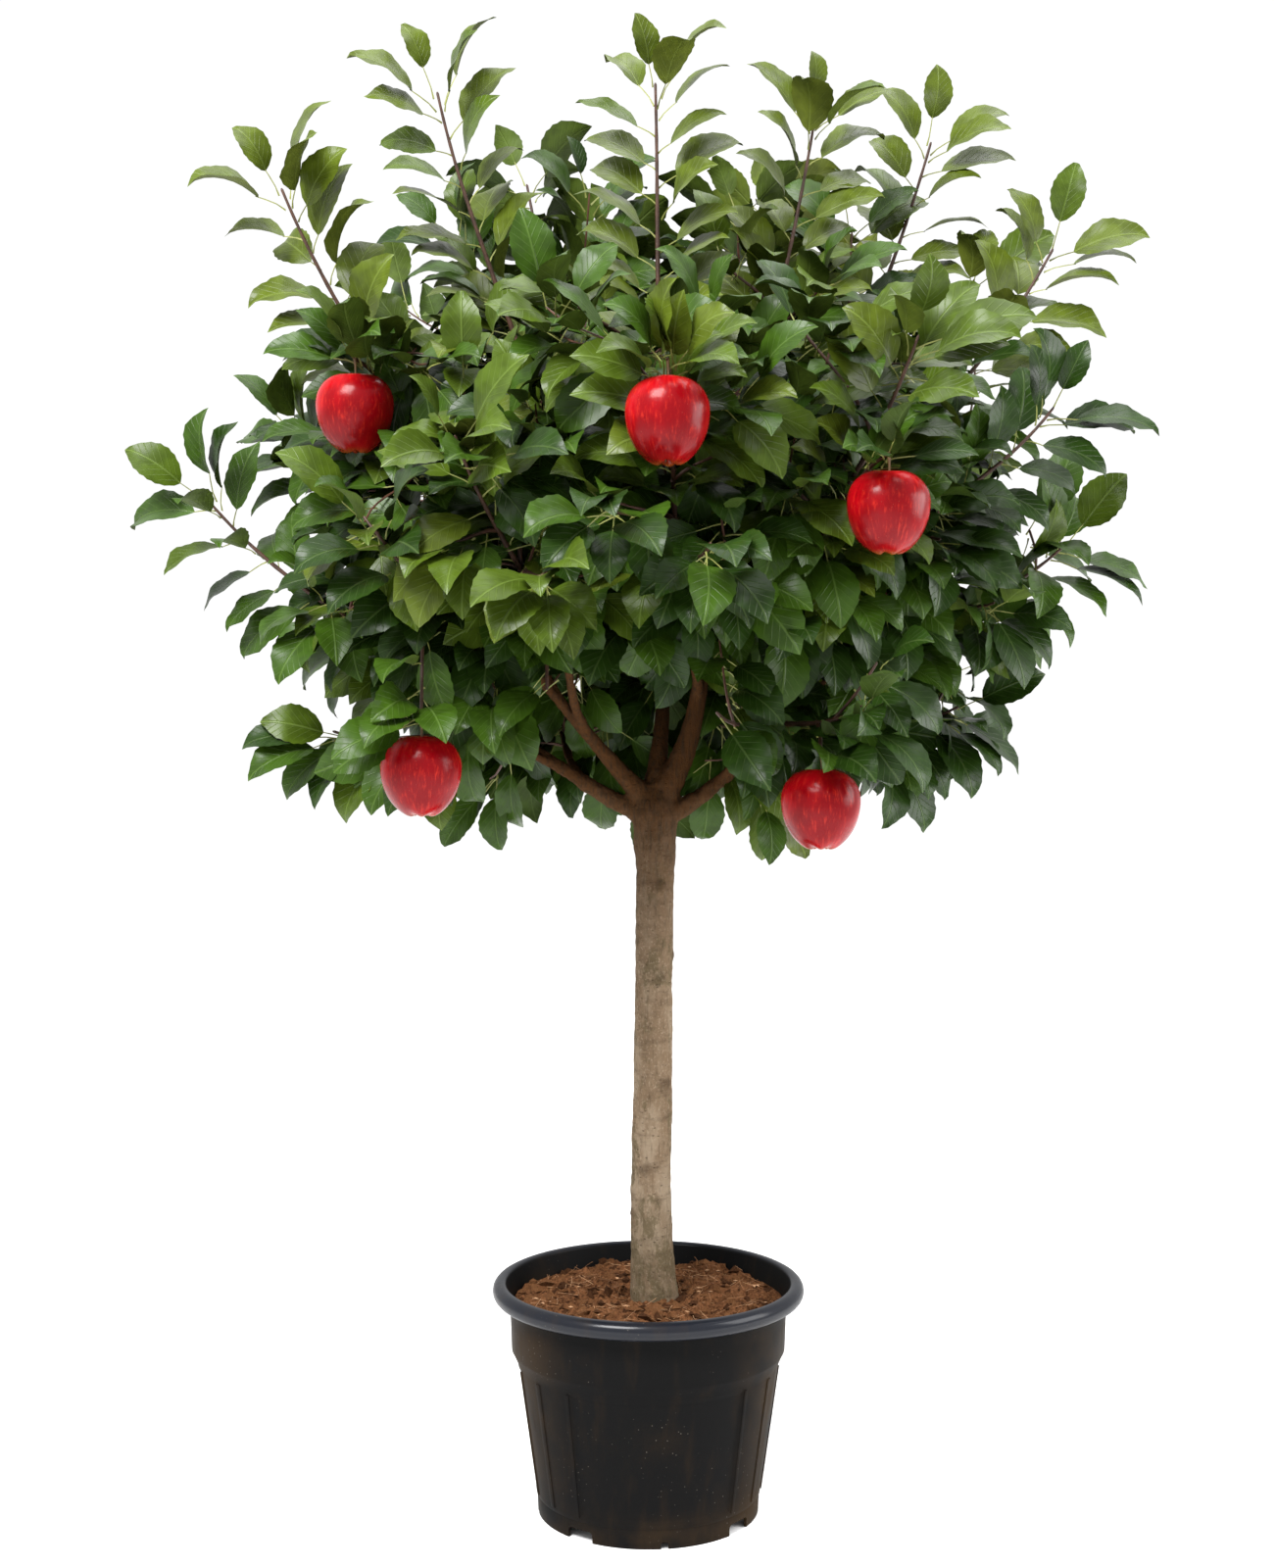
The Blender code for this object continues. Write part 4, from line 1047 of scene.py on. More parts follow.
class Curve:
    """A smooth curve between two points that leaves and arrives in given directions."""

    def __init__(self, start: Vector, out: Vector, end: Vector, into: Vector, reach: float = 0.36) -> None:
        """Set the curve out.

        Args:
            start: its first point.
            out: the direction in which it leaves.
            end: its last point.
            into: the direction in which it arrives.
            reach: how far its two handles reach, as a share of the distance.
        """
        span = (end - start).length * reach
        self.points = (start, start + out * span, end - into * span, end)
        steps = [self.at(step / 24) for step in range(25)]
        self.length = sum((b - a).length for a, b in zip(steps, steps[1:]))

    def at(self, along: float) -> Vector:
        """The point at a share of the curve."""
        a, b, c, d = self.points
        left = 1.0 - along
        return a * left ** 3 + b * (3 * left * left * along) + c * (3 * left * along ** 2) + d * along ** 3

    def heading(self, along: float) -> Vector:
        """The direction at a share of the curve."""
        a, b, c, d = self.points
        left = 1.0 - along
        slope = (b - a) * left ** 2 + (c - b) * (2 * left * along) + (d - c) * along ** 2
        return slope.normalized()

    def sample(self, step: float) -> list[Vector]:
        """Points evenly numbered along the curve, about a step apart."""
        count = max(2, round(self.length / step))
        return [self.at(index / count) for index in range(count + 1)]


@dataclass
class Limb:
    """The trunk or a bough: its middle line, its radii and its curve."""

    path: list[Vector]
    radii: list[float]
    curve: Curve | None = None


@dataclass
class Wood:
    """The trunk and boughs, set out by the same rule as their solids and covered with bark."""

    trunk_foot: float = 0.2140
    trunk_step: float = 0.012
    trunk_sides: int = 40
    bough_step: float = 0.010
    swell: tuple = (0.22, 0.014)
    head_swell: tuple = (0.55, 0.034)
    dome: tuple = (0.715, 0.758)
    head: float = 0.735
    head_spread: float = 0.045
    flare: float = 0.0007
    flare_height: float = 0.018
    flare_ribs: float = 5.0
    voxel: float = 0.0021
    smoothing: int = 7
    knots: tuple = (
        (0.647, -72.0, 0.0054), (0.553, -68.0, 0.0050), (0.444, -52.0, 0.0056), (0.358, -108.0, 0.0050),
        (0.575, -4.0, 0.0036), (0.668, 120.0, 0.0050), (0.310, 200.0, 0.0040), (0.480, 95.0, 0.0042),
    )
    limbs: dict[str, Limb] = field(default_factory=dict)

    def middle(self, height: float) -> Pair:
        """Sideways place of the trunk's middle and its radius at a height."""
        stations = TRUNK_STATIONS
        height = min(max(height, stations[0][0]), stations[-1][0])
        for low, high in zip(stations, stations[1:]):
            if low[0] <= height <= high[0]:
                share = (height - low[0]) / (high[0] - low[0])
                return low[1] + (high[1] - low[1]) * share, (low[2] + (high[2] - low[2]) * share) / 2
        return stations[-1][1], stations[-1][2] / 2

    def set_out(self) -> None:
        """Work out every limb's line and radii."""
        top = TRUNK_STATIONS[-1][0]
        count = round((top - self.trunk_foot) / self.trunk_step)
        levels = [self.trunk_foot + (top - self.trunk_foot) * index / count for index in range(count + 1)]
        places = [self.middle(level) for level in levels]
        self.limbs["trunk"] = Limb([Vector((x, 0, z)) for z, (x, _) in zip(levels, places)],
                                   [radius for _, radius in places])
        for branch in BRANCHES:
            self.limbs[branch.name] = self.bough(branch)

    def bough(self, branch: Branch) -> Limb:
        """One bough's line and radii, from inside its parent to the place where its mass begins."""
        tip, whip = Vector(branch.tip), Vector(branch.whip)
        if branch.parent == "trunk":
            start = Vector((self.middle(branch.along)[0], 0.0, branch.along))
            out = direction(*branch.leave)
        else:
            parent = self.limbs[branch.parent].curve
            start = parent.at(branch.along)
            out = (parent.heading(branch.along) * 0.7 + (tip - start).normalized()).normalized()
        into = ((whip - tip).normalized() * 0.6 + (tip - start).normalized() * 0.4).normalized()
        curve = Curve(start, out, tip, into)
        path = curve.sample(self.bough_step)
        swell, fading = self.head_swell if branch.parent == "trunk" else self.swell
        radii = []
        for index in range(len(path)):
            along = index / (len(path) - 1)
            radius = branch.diameter / 2 + (BOUGH_TIP_DIAMETER - branch.diameter) / 2 * along
            radii.append(radius * (1 + swell * exp(-along * curve.length / fading)))
        return Limb(path, radii, curve)

    def trunk_shape(self) -> Piece:
        """The trunk, drawn up ring by ring, with its head rounded off among the boughs."""
        limb = self.limbs["trunk"]
        low, high = self.dome
        rings = [(radius * sqrt(1.0 - (max(0.0, point.z - low) / (high - low)) ** 2), point.z)
                 for point, radius in zip(limb.path, limb.radii)]
        return turned("trunk_and_boughs", rings, self.trunk_sides, [point.x for point in limb.path])

    def bough_shape(self, name: str) -> Piece:
        """A bough as a round bevelled curve, made a mesh."""
        limb = self.limbs[name]
        data = bpy.data.curves.new("bough_line", "CURVE")
        data.dimensions = "3D"
        data.bevel_depth = 1.0
        data.bevel_resolution = 3
        data.use_fill_caps = True
        line = data.splines.new("POLY")
        line.points.add(len(limb.path) - 1)
        for point, place, radius in zip(line.points, limb.path, limb.radii):
            point.co = (*place, 1.0)
            point.radius = radius
        activate(linked("bough_line", data))
        bpy.ops.object.convert(target="MESH")
        piece = bpy.context.object
        edit_corners(piece)
        bpy.ops.mesh.remove_doubles(threshold=0.00002)
        face_outwards()
        return piece

    def knot_place(self, height: float, bearing: float) -> Vector:
        """The middle of a knot, a little inside the trunk's side."""
        x, radius = self.middle(height)
        turn = radians(bearing)
        return Vector((x + cos(turn) * radius * 0.93, sin(turn) * radius * 0.93, height))

    def knot(self, height: float, bearing: float, size: float) -> Piece:
        """A healed knot on the trunk: a stretched ball half sunk in it."""
        place = self.knot_place(height, bearing)
        deselect()
        bpy.ops.mesh.primitive_uv_sphere_add(segments=16, ring_count=10, radius=size)
        ball = bpy.context.object
        ball.data.transform(Matrix.Translation(place) @ Matrix.Diagonal((1.0, 1.0, 1.5, 1.0)))
        return ball

    def relief(self, place: Vector, normal: Vector) -> Vector:
        """Raise or sink a corner of the bark: ridges, rings, the flare and the knobbly head."""
        stretched = Vector((place.x, place.y, place.z * 0.20))
        ridges = noise.noise(stretched * 260.0) + 0.6 * noise.noise(stretched * 520.0)
        rings = noise.noise(Vector((place.x * 24.0, place.y * 24.0, place.z * 170.0)))
        lumps = noise.noise(Vector((place.x, place.y, place.z * 0.6)) * 62.0)
        near = exp(-((place.z - self.head) / self.head_spread) ** 2)
        depth = 0.00060 * ridges + 0.00050 * rings + (0.00070 + 0.0011 * near) * lumps
        depth += 0.0006 * near * ridges
        foot = exp(-(place.z - self.trunk_foot) / self.flare_height)
        ribs = cos(self.flare_ribs * atan2(place.y, place.x) + 0.8)
        depth += self.flare * foot * (ribs - 0.4)
        slim = min(1.0, 0.70 + max(0.0, 0.78 - place.z) * 8.0)
        return place + normal * (depth * slim)

    def build(self) -> None:
        """Model the limbs, blend them at their forks, and raise the bark's relief."""
        self.set_out()
        parts = [self.trunk_shape()]
        parts += [self.bough_shape(branch.name) for branch in BRANCHES]
        parts += [self.knot(*knot) for knot in self.knots]
        piece = joined(parts)
        apply_modifier(piece, "REMESH", mode="VOXEL", voxel_size=self.voxel)
        apply_modifier(piece, "SMOOTH", factor=0.5, iterations=self.smoothing)
        move_corners(piece, self.relief)
        piece.data.shade_smooth()
        marks = tuple(tuple(self.knot_place(height, bearing)) for height, bearing, _ in self.knots)
        dress(piece, BarkFinish(marks=marks).make())
        hand_in(piece, Slot.BARK, ["trunk", *("bough_" + branch.name for branch in BRANCHES)])


@dataclass
class Shoot:
    """A twig of a mass: its curve, its radii at foot and tip, how it is leafed, and how far it has grown.

    A whip carries its leaves in two rows, left and right.
    """

    curve: Curve
    foot: float
    tip: float
    leafy_from: float
    rosette: int
    spacing: float = 0.026
    apple: Apple | None = None
    fine: bool = False
    whip: bool = False
    reach: float = 1.0

    def radius_at(self, along: float) -> float:
        """The twig's radius at a share of its length."""
        return self.foot + (self.tip - self.foot) * along ** 0.8

    def offshoot(self, along: float, target: Vector, follow: float, rise: float) -> Curve:
        """The curve of a shoot that leaves this one and ends at a target.

        Args:
            along: the share of this shoot's length where it leaves.
            target: where it ends.
            follow: how far it sets out along this shoot.
            rise: how far its end turns up, or down below zero.

        Returns:
            The curve.
        """
        start = self.curve.at(along)
        way = (target - start).normalized()
        out = (self.curve.heading(along) * follow + way).normalized()
        return Curve(start, out, target, (way + UP * rise).normalized())

    def path(self, step: float) -> list[Vector]:
        """Points about a step apart along the part that has grown."""
        count = max(2, round(self.curve.length * self.reach / step))
        return [self.curve.at(self.reach * index / count) for index in range(count + 1)]


@dataclass(frozen=True)
class Shell:
    """Targets spread over an ellipsoid, the head's own times a share, between two heights."""

    share: float
    count: int
    lowest: float = 0.775
    highest: float = 1.40


@dataclass(frozen=True)
class TwigRule:
    """How one round of finer twigs grows: how far each rises for choice, and how it is leafed."""

    rise: float
    foot: float
    rosette: int
    spacing: float
    whip: bool = False


@dataclass
class Crown:
    """Every shoot of the crown: the named ones, the side shoots and the finer twigs."""

    wood: Wood
    head_centre: Vector = field(default_factory=lambda: Vector((0.008, 0.0, 1.020)))
    head_radii: tuple = (0.365, 0.365, 0.265)
    side_shells: tuple = (Shell(1.00, 72), Shell(0.70, 26))
    crest_shells: tuple = (Shell(1.28, 150, lowest=1.25),)
    fine_shells: tuple = (
        Shell(1.02, 150, lowest=1.17),
        Shell(0.90, 150, lowest=1.15),
        Shell(0.80, 210),
        Shell(0.60, 110, lowest=0.82),
        Shell(0.42, 40, lowest=0.86),
        Shell(0.94, 90, lowest=0.735, highest=0.86),
        Shell(1.10, 76, lowest=0.735, highest=0.80),
    )
    crest_rule: TwigRule = TwigRule(rise=0.15, foot=0.0021, rosette=4, spacing=0.017, whip=True)
    fine_rule: TwigRule = TwigRule(rise=0.018, foot=0.0017, rosette=5, spacing=0.024)
    hanging_rule: TwigRule = TwigRule(rise=0.018, foot=0.0017, rosette=3, spacing=0.034)
    hanging_height: float = 0.81
    open_front_height: float = 1.19
    open_front_depth: float = 0.03
    side_reach: tuple = (0.50, 0.95)
    view: tuple = (2.3, 0.888)
    fork_window: tuple = (-0.105, 0.072, -0.020, 0.850)
    seed: int = 77
    main_rise: float = 0.35
    whip_tip: float = 0.0013
    whip_spacing: float = 0.0155
    spur_height: float = 0.0135
    target_margin: float = 0.010
    shoot_margin: float = 0.005
    shoot_space: float = 0.009
    free_foot: float = 0.022
    leans: tuple = (0.6, 0.3, 0.9, 1.3)
    limb_margin: float = 0.003
    limb_search: float = 0.035
    apple_margin: float = 0.006
    shortest: float = 0.045
    fine_reach: tuple = (0.022, 0.120)
    fine_space: float = 0.034
    outward_lean: float = 0.05
    fine_limb_margin: float = 0.006
    fine_apple_margin: float = 0.012
    feet_on_shoot: int = 20
    step: float = 0.012
    masses: dict[str, list[Shoot]] = field(default_factory=dict)

    def grow(self) -> None:
        """Set out every shoot."""
        self.grow_named()
        self.map_obstacles()
        self.dice = Dice(self.seed)
        self.add_side_shoots()
        self.add_fine_twigs(self.crest_shells, self.crest_rule, self.crest_rule)
        self.add_fine_twigs(self.fine_shells, self.fine_rule, self.hanging_rule)

    def main(self, branch: Branch) -> Shoot:
        """The main shoot of a mass, on from the tip of its bough."""
        into = self.wood.limbs[branch.name].curve.heading(1.0)
        start, whip = Vector(branch.tip) + into * GAP, Vector(branch.whip)
        rise = ((whip - start).normalized() + UP * self.main_rise).normalized()
        curve = Curve(start, into, whip, rise)
        return Shoot(curve, foot=BOUGH_TIP_DIAMETER / 2, tip=self.whip_tip, leafy_from=0.10, rosette=4,
                     spacing=self.whip_spacing, whip=True)

    def grow_named(self) -> None:
        """Set out the shoots of the tables: the main ones, the extra ones and the apple spurs."""
        for branch in BRANCHES:
            self.masses[branch.name] = [self.main(branch)]
        for extra in EXTRAS:
            main = self.masses[extra.mass][0]
            self.masses[extra.mass].append(self.named(main, extra.along, Vector(extra.tip)))
        for apple in APPLES:
            tip = Vector(apple.centre) + UP * (APPLE_RADIUS + self.spur_height)
            self.masses[apple.mass].append(self.named(self.masses[apple.mass][0], apple.along, tip, apple))

    def map_obstacles(self) -> None:
        """Note each mass's space, the limbs' points and radii, and the apples with the way they are seen."""
        self.spaces = {name: self.tree(point for shoot in shoots for point in shoot.curve.sample(self.step))
                       for name, shoots in self.masses.items()}
        self.limb_points = [(a.lerp(b, share), r + (s - r) * share) for limb in self.wood.limbs.values()
                            for a, b, r, s in zip(limb.path, limb.path[1:], limb.radii, limb.radii[1:])
                            for share in (0.0, 0.5)]
        self.limb_tree = self.tree(point for point, _ in self.limb_points)
        self.apples = [Vector(apple.centre) for apple in APPLES]
        distance, height = self.view
        eyes = [Vector((0.0, copysign(distance, centre.y), height)) for centre in self.apples]
        self.sights = [(eye - centre).normalized() for eye, centre in zip(eyes, self.apples)]

    def tree(self, points: Iterator[Vector]) -> KDTree:
        """A lookup tree of points."""
        listed = list(points)
        made = KDTree(len(listed))
        for index, point in enumerate(listed):
            made.insert(point, index)
        made.balance()
        return made

    def named(self, main: Shoot, along: float, tip: Vector, apple: Apple | None = None) -> Shoot:
        """A shoot from a stated place on a main shoot to a stated tip.

        Args:
            main: the shoot that it leaves.
            along: the share of that shoot's length where it leaves.
            tip: where it ends.
            apple: the apple that hangs from it, if one does.

        Returns:
            The shoot.
        """
        along = max(self.free_foot / main.curve.length, along)
        curve = main.offshoot(along, tip, 0.4, -0.3 if apple else 0.3)
        foot = min(0.0025, main.radius_at(along) * 0.9)
        return Shoot(curve, foot, tip=0.0015, leafy_from=0.35, rosette=7 if apple else 6, apple=apple)

    def side(self, main: Shoot, target: Vector, lean: float) -> Shoot:
        """A shoot that leaves a main shoot early enough to lean over to a target at a natural angle.

        Args:
            main: the shoot that it leaves.
            target: where it ends.
            lean: how far below the nearest place it leaves, as a share of the distance to the target.

        Returns:
            The shoot.
        """
        places = [index / 40 for index in range(41)]
        near = min(places, key=lambda along: (main.curve.at(along) - target).length)
        back = lean * (main.curve.at(near) - target).length / main.curve.length
        along = max(self.free_foot / main.curve.length, near - back)
        curve = main.offshoot(along, target, 0.5, self.main_rise)
        foot = min(0.0026, main.radius_at(along) * 0.9)
        return Shoot(curve, foot, tip=0.0011, leafy_from=0.18, rosette=5)

    def owner(self, point: Vector) -> str:
        """The mass that a point belongs to."""
        return min(self.masses, key=lambda name: self.spaces[name].find(point)[2])

    def room(self, name: str, point: Vector) -> float:
        """How much nearer a point is to its own mass than to any other."""
        own = self.spaces[name].find(point)[2]
        return min(tree.find(point)[2] for other, tree in self.spaces.items() if other != name) - own

    def clear(self, point: Vector, limb_margin: float, apple_margin: float) -> bool:
        """True where a point is clear of every limb and apple by the two margins."""
        for _, index, distance in self.limb_tree.find_range(point, self.limb_search):
            if distance < self.limb_points[index][1] + limb_margin:
                return False
        return all((point - centre).length > APPLE_RADIUS + apple_margin for centre in self.apples)

    def open_at(self, point: Vector, margin: float) -> bool:
        """True in the places that stay open: on an apple's seen side, and in front of the fork.

        Args:
            point: the place.
            margin: how far round an apple stays free.

        Returns:
            True where nothing grows.
        """
        for centre, sight in zip(self.apples, self.sights):
            offset = point - centre
            away = offset.dot(sight)
            if away > 0.0 and (offset - sight * away).length < APPLE_RADIUS + margin:
                return True
        left, right, front, top = self.fork_window
        return left < point.x < right and point.y < front and point.z < top

    def targets(self, shells: Sequence[Shell]) -> Iterator[Vector]:
        """Points spread evenly over shells of the head."""
        for shell in shells:
            for index in range(shell.count):
                height = 1.0 - 2.0 * (index + 0.5) / shell.count
                flat, turn = sqrt(1.0 - height * height), GOLDEN_ANGLE * index
                sides = (flat * cos(turn), flat * sin(turn), height)
                offset = Vector(s * r for s, r in zip(sides, self.head_radii)) * shell.share
                point = self.head_centre + offset
                if shell.lowest < point.z < shell.highest:
                    yield point

    def add_side_shoots(self) -> None:
        """Grow a side shoot to each target that its mass can reach in its own space."""
        placed = [point for shoots in self.masses.values() for shoot in shoots
                  for point in shoot.curve.sample(self.step)]
        for target in self.targets(self.side_shells):
            name = self.owner(target)
            near = self.spaces[name].find(target)[2]
            if self.room(name, target) < self.target_margin or near < self.shortest:
                continue
            for lean in self.leans:
                shoot = self.side(self.masses[name][0], target, lean)
                path = shoot.curve.sample(self.step)
                fits = all(self.room(name, point) > self.shoot_margin
                           and self.clear(point, self.limb_margin, self.apple_margin) for point in path[1:])
                if fits and all((p - other).length > self.shoot_space for p in path[3:] for other in placed):
                    shoot.reach = self.dice.uniform(*self.side_reach)
                    self.masses[name].append(shoot)
                    placed.extend(path)
                    break

    def feet(self) -> dict[str, list[tuple[Shoot, float, Vector]]]:
        """Where finer twigs may leave each mass's shoots and the outer half of its bough.

        Returns:
            For each mass the shoot, the share of its length and the place of every such foot.
        """
        found = {}
        last = self.feet_on_shoot
        for branch in BRANCHES:
            line = self.wood.limbs[branch.name].curve
            bough = Shoot(line, branch.diameter / 2, BOUGH_TIP_DIAMETER / 2, leafy_from=0.0, rosette=0)
            shoots = [shoot for shoot in (bough, *self.masses[branch.name]) if not shoot.apple]
            shares = [(shoot, shoot.reach * index / last) for shoot in shoots
                      for index in range(last // 2 if shoot is bough else 2, last)]
            found[branch.name] = [(shoot, along, shoot.curve.at(along)) for shoot, along in shares]
        return found

    def wanted(self, start: Vector, target: Vector, rise: float, tips: Sequence[Vector]) -> bool:
        """Say whether a finer twig has a fair length and a free target.

        Args:
            start, target: where the twig would leave and end.
            rise: how far it may rise beyond a fair length.
            tips: the ends of all other twigs.

        Returns:
            True where the twig is wanted.
        """
        shortest, longest = self.fine_reach
        if not shortest < (start - target).length < longest + rise:
            return False
        if target.z > self.open_front_height and target.y < self.open_front_depth:
            return False
        if not self.clear(target, self.fine_limb_margin, self.fine_apple_margin):
            return False
        if any((tip - target).length < self.fine_space for tip in tips):
            return False
        return not any(self.open_at(start.lerp(target, share), self.apple_margin) for share in (0.5, 1.0))

    def add_fine_twigs(self, shells: Sequence[Shell], rule: TwigRule, low_rule: TwigRule) -> None:
        """Carry the shoots and the outer boughs on to finer twigs, each to a target on closer shells.

        Args:
            shells: the shells of targets.
            rule: how the twigs grow.
            low_rule: how those grow that hang under the crown.
        """
        feet = self.feet()
        tips = [shoot.curve.at(shoot.reach) for shoots in self.masses.values() for shoot in shoots]
        for target in self.targets(shells):
            name = self.owner(target)
            lean = UP * rule.rise + (target - self.head_centre) * self.outward_lean
            shoot, along, start = min(feet[name], key=lambda foot: (foot[2] + lean - target).length)
            if not self.wanted(start, target, rule.rise, tips):
                continue
            curve = shoot.offshoot(along, target, 0.5, 0.3)
            chosen = low_rule if target.z < self.hanging_height else rule
            foot = min(chosen.foot, shoot.radius_at(along) * 0.85)
            self.masses[name].append(Shoot(curve, foot, tip=0.0009, leafy_from=0.25, rosette=chosen.rosette,
                                           spacing=chosen.spacing, fine=True, whip=chosen.whip))
            tips.append(target)


@dataclass(frozen=True)
class Leaf:
    """One leaf before it is placed: its sizes, its curl and how it leans.

    Lengths are in metres, angles in radians. The lift along the twig, the level, which sinks it, and the pull
    outwards are shares of the leaf's spread from the twig.
    """

    length: float
    stalk: float
    lift: float
    level: float
    outwards: float
    arch: float
    fold: float
    wave: float
    phase: float
    roll: float
    shade: float
    limp: float


class LeafForm:
    """The faces of one leaf, and its corners at any size, arch and fold."""

    stations = 8
    thickness = 0.0006
    widest_power = 0.91
    fullness = 0.78
    point_from = 0.70
    point_cut = 0.45
    tooth_out = 1.045
    tooth_in = 0.985
    stalk_rings = 4
    stalk_sides = 3
    stalk_places = np.array([0.0, 0.35, 0.75, 1.12])
    stalk_radii = np.array([0.0012, 0.0007, 0.0007, 0.0005])
    stalk_under = np.array([0.0, 0.0, 0.0002, 0.0006])

    def __init__(self) -> None:
        """Number the corners and list the faces of the blade's two sides and the stalk."""
        n = self.stations
        inner = n - 1
        outer = 2 * n - 1
        self.top_rib, self.top_half = 2, (2 + inner, 2 + 2 * inner)
        self.rim = (2 + 3 * inner, 2 + 3 * inner + outer)
        self.low_rib = 2 + 3 * inner + 2 * outer
        self.low_half = (self.low_rib + inner, self.low_rib + 2 * inner)
        self.stalk = self.low_rib + 3 * inner
        faces = []
        for side, flip in ((0, False), (1, True)):
            for cell in range(n):
                edge = [self.pick_rim(side, 2 * cell + step) for step in range(3)]
                for kind, rows in enumerate(((self.top_rib, self.top_half), (self.low_rib, self.low_half))):
                    rib, rib_next = self.pick(rows[0], cell), self.pick(rows[0], cell + 1)
                    half, half_next = self.pick(rows[1][side], cell), self.pick(rows[1][side], cell + 1)
                    cells = [(rib, half, rib_next), (half, half_next, rib_next), (half, edge[0], edge[1]),
                             (half, edge[1], half_next), (half_next, edge[1], edge[2])]
                    faces += [(face[::-1] if flip != (kind == 1) else face, kind) for face in cells]
        faces += [(face, 2) for face in tube_faces(self.stalk_rings, self.stalk_sides, self.stalk)]
        faces = [(face, kind) for face, kind in faces if len(set(face)) > 2]
        grid = np.arange(1, n) / n
        fine = np.arange(1, 2 * n) / (2 * n)
        self.fine = np.arange(0, 2 * n + 1) / (2 * n)
        outline = np.sin(pi * self.fine ** self.widest_power) ** self.fullness
        late = np.clip((self.fine - self.point_from) / 0.30, 0.0, 1.0)
        self.outline = outline * (1.0 - self.point_cut * late ** 1.5)
        edge = dict(zip(self.fine, self.outline))
        uv = [(0.5, 0.0), (0.5, 1.0)] + [(0.5, t) for t in grid]
        uv += [(0.5 + s * 0.25 * edge[t], t) for s in (-1, 1) for t in grid]
        uv += [(0.5 + s * 0.5 * edge[t], t) for s in (-1, 1) for t in fine]
        uv += uv[2:2 + 3 * inner] + [(0.5, 0.0)] * (self.stalk_sides * self.stalk_rings)
        self.shape = Shape([face for face, _ in faces], uv)
        self.kinds = np.array([kind for _, kind in faces])
        self.teeth = np.where(np.arange(2 * n + 1) % 2 == 1, self.tooth_out, self.tooth_in)

    def pick(self, first: int, station: int) -> int:
        """The corner at a station of a lengthways row, which ends at the blade's base and tip."""
        if station == 0:
            return 0
        return 1 if station == self.stations else first + station - 1

    def pick_rim(self, side: int, station: int) -> int:
        """The corner at a fine station of the rim."""
        if station == 0:
            return 0
        return 1 if station == 2 * self.stations else self.rim[side] + station - 1

    def rib(self, leaf: Leaf) -> tuple[np.ndarray, np.ndarray, np.ndarray]:
        """How far out, how high and how steep the midrib is at each fine station."""
        t = self.fine
        slope = leaf.arch * (0.52 - t ** 1.25) - 0.5 * leaf.arch * np.clip(t - 0.8, 0.0, 1.0) * 4.0
        step = leaf.length / (len(t) - 1)
        middle = (slope[1:] + slope[:-1]) / 2
        y = leaf.stalk + np.concatenate(([0.0], np.cumsum(np.cos(middle)))) * step
        z = np.concatenate(([0.0], np.cumsum(np.sin(middle)))) * step
        return y, z, slope

    def stem(self, leaf: Leaf, start: float) -> np.ndarray:
        """Corners of the stalk, which sags from the twig and ends under the blade.

        Args:
            leaf: the leaf.
            start: the midrib's slope at the blade's base, in radians.

        Returns:
            The corners.
        """
        steepness = sin(start)
        places = self.stalk_places
        sag = -steepness * leaf.stalk * 0.55 * (1.0 - np.minimum(places, 1.0)) ** 2
        lift = np.where(places > 1.0, steepness * (places - 1.0) * leaf.stalk, 0.0) - self.stalk_under
        angles = pi / 2 + np.arange(self.stalk_sides) * 2 * pi / self.stalk_sides
        ring = np.stack([np.cos(angles), np.zeros(self.stalk_sides), np.sin(angles)], 1)
        return np.concatenate([ring * radius + np.array((0.0, y, z)) for radius, y, z in
                               zip(self.stalk_radii, places * leaf.stalk, sag + lift)])

    def corners(self, leaf: Leaf, width: float) -> np.ndarray:
        """Corners of one leaf that grows from the origin along +Y with its upper side to +Z.

        Args:
            leaf: its sizes and its curl.
            width: the blade's full width.

        Returns:
            The corners.
        """
        y, z, slope = self.rib(leaf)
        rise, lean = np.cos(slope), -np.sin(slope)
        half = self.outline * width / 2

        def points(at: np.ndarray, share: float, drop: float = 0.0) -> np.ndarray:
            """Corners across the blade at a signed share of its half width."""
            t = self.fine[at]
            away = abs(share)
            reach = half[at] * (self.teeth[at] if away == 1.0 else away)
            ripple = leaf.wave * 0.10 * np.sin(leaf.phase + 15.0 * t) * width * away * (0.3 + t)
            lift = reach * sin(leaf.fold) * (1.30 - 0.30 * away) + ripple - drop
            x = copysign(1.0, share) * reach * cos(leaf.fold)
            return np.stack([x, y[at] + lean[at] * lift, z[at] + rise[at] * lift], 1)

        whole = np.arange(2, 2 * self.stations, 2)
        every = np.arange(1, 2 * self.stations)
        thin = self.thickness * 0.7
        return np.concatenate([
            points(np.array([0, 2 * self.stations]), 0.0),
            points(whole, 0.0), points(whole, -0.5), points(whole, 0.5),
            points(every, -1.0), points(every, 1.0),
            points(whole, 0.0, self.thickness), points(whole, -0.5, thin), points(whole, 0.5, thin),
            self.stem(leaf, slope[0]),
        ])


@dataclass
class Spray:
    """What the leaves of one shoot share: their mass, its random numbers and mesh, and their tint."""

    mass: str
    shoot: Shoot
    dice: Dice
    batch: Batch
    tint: int


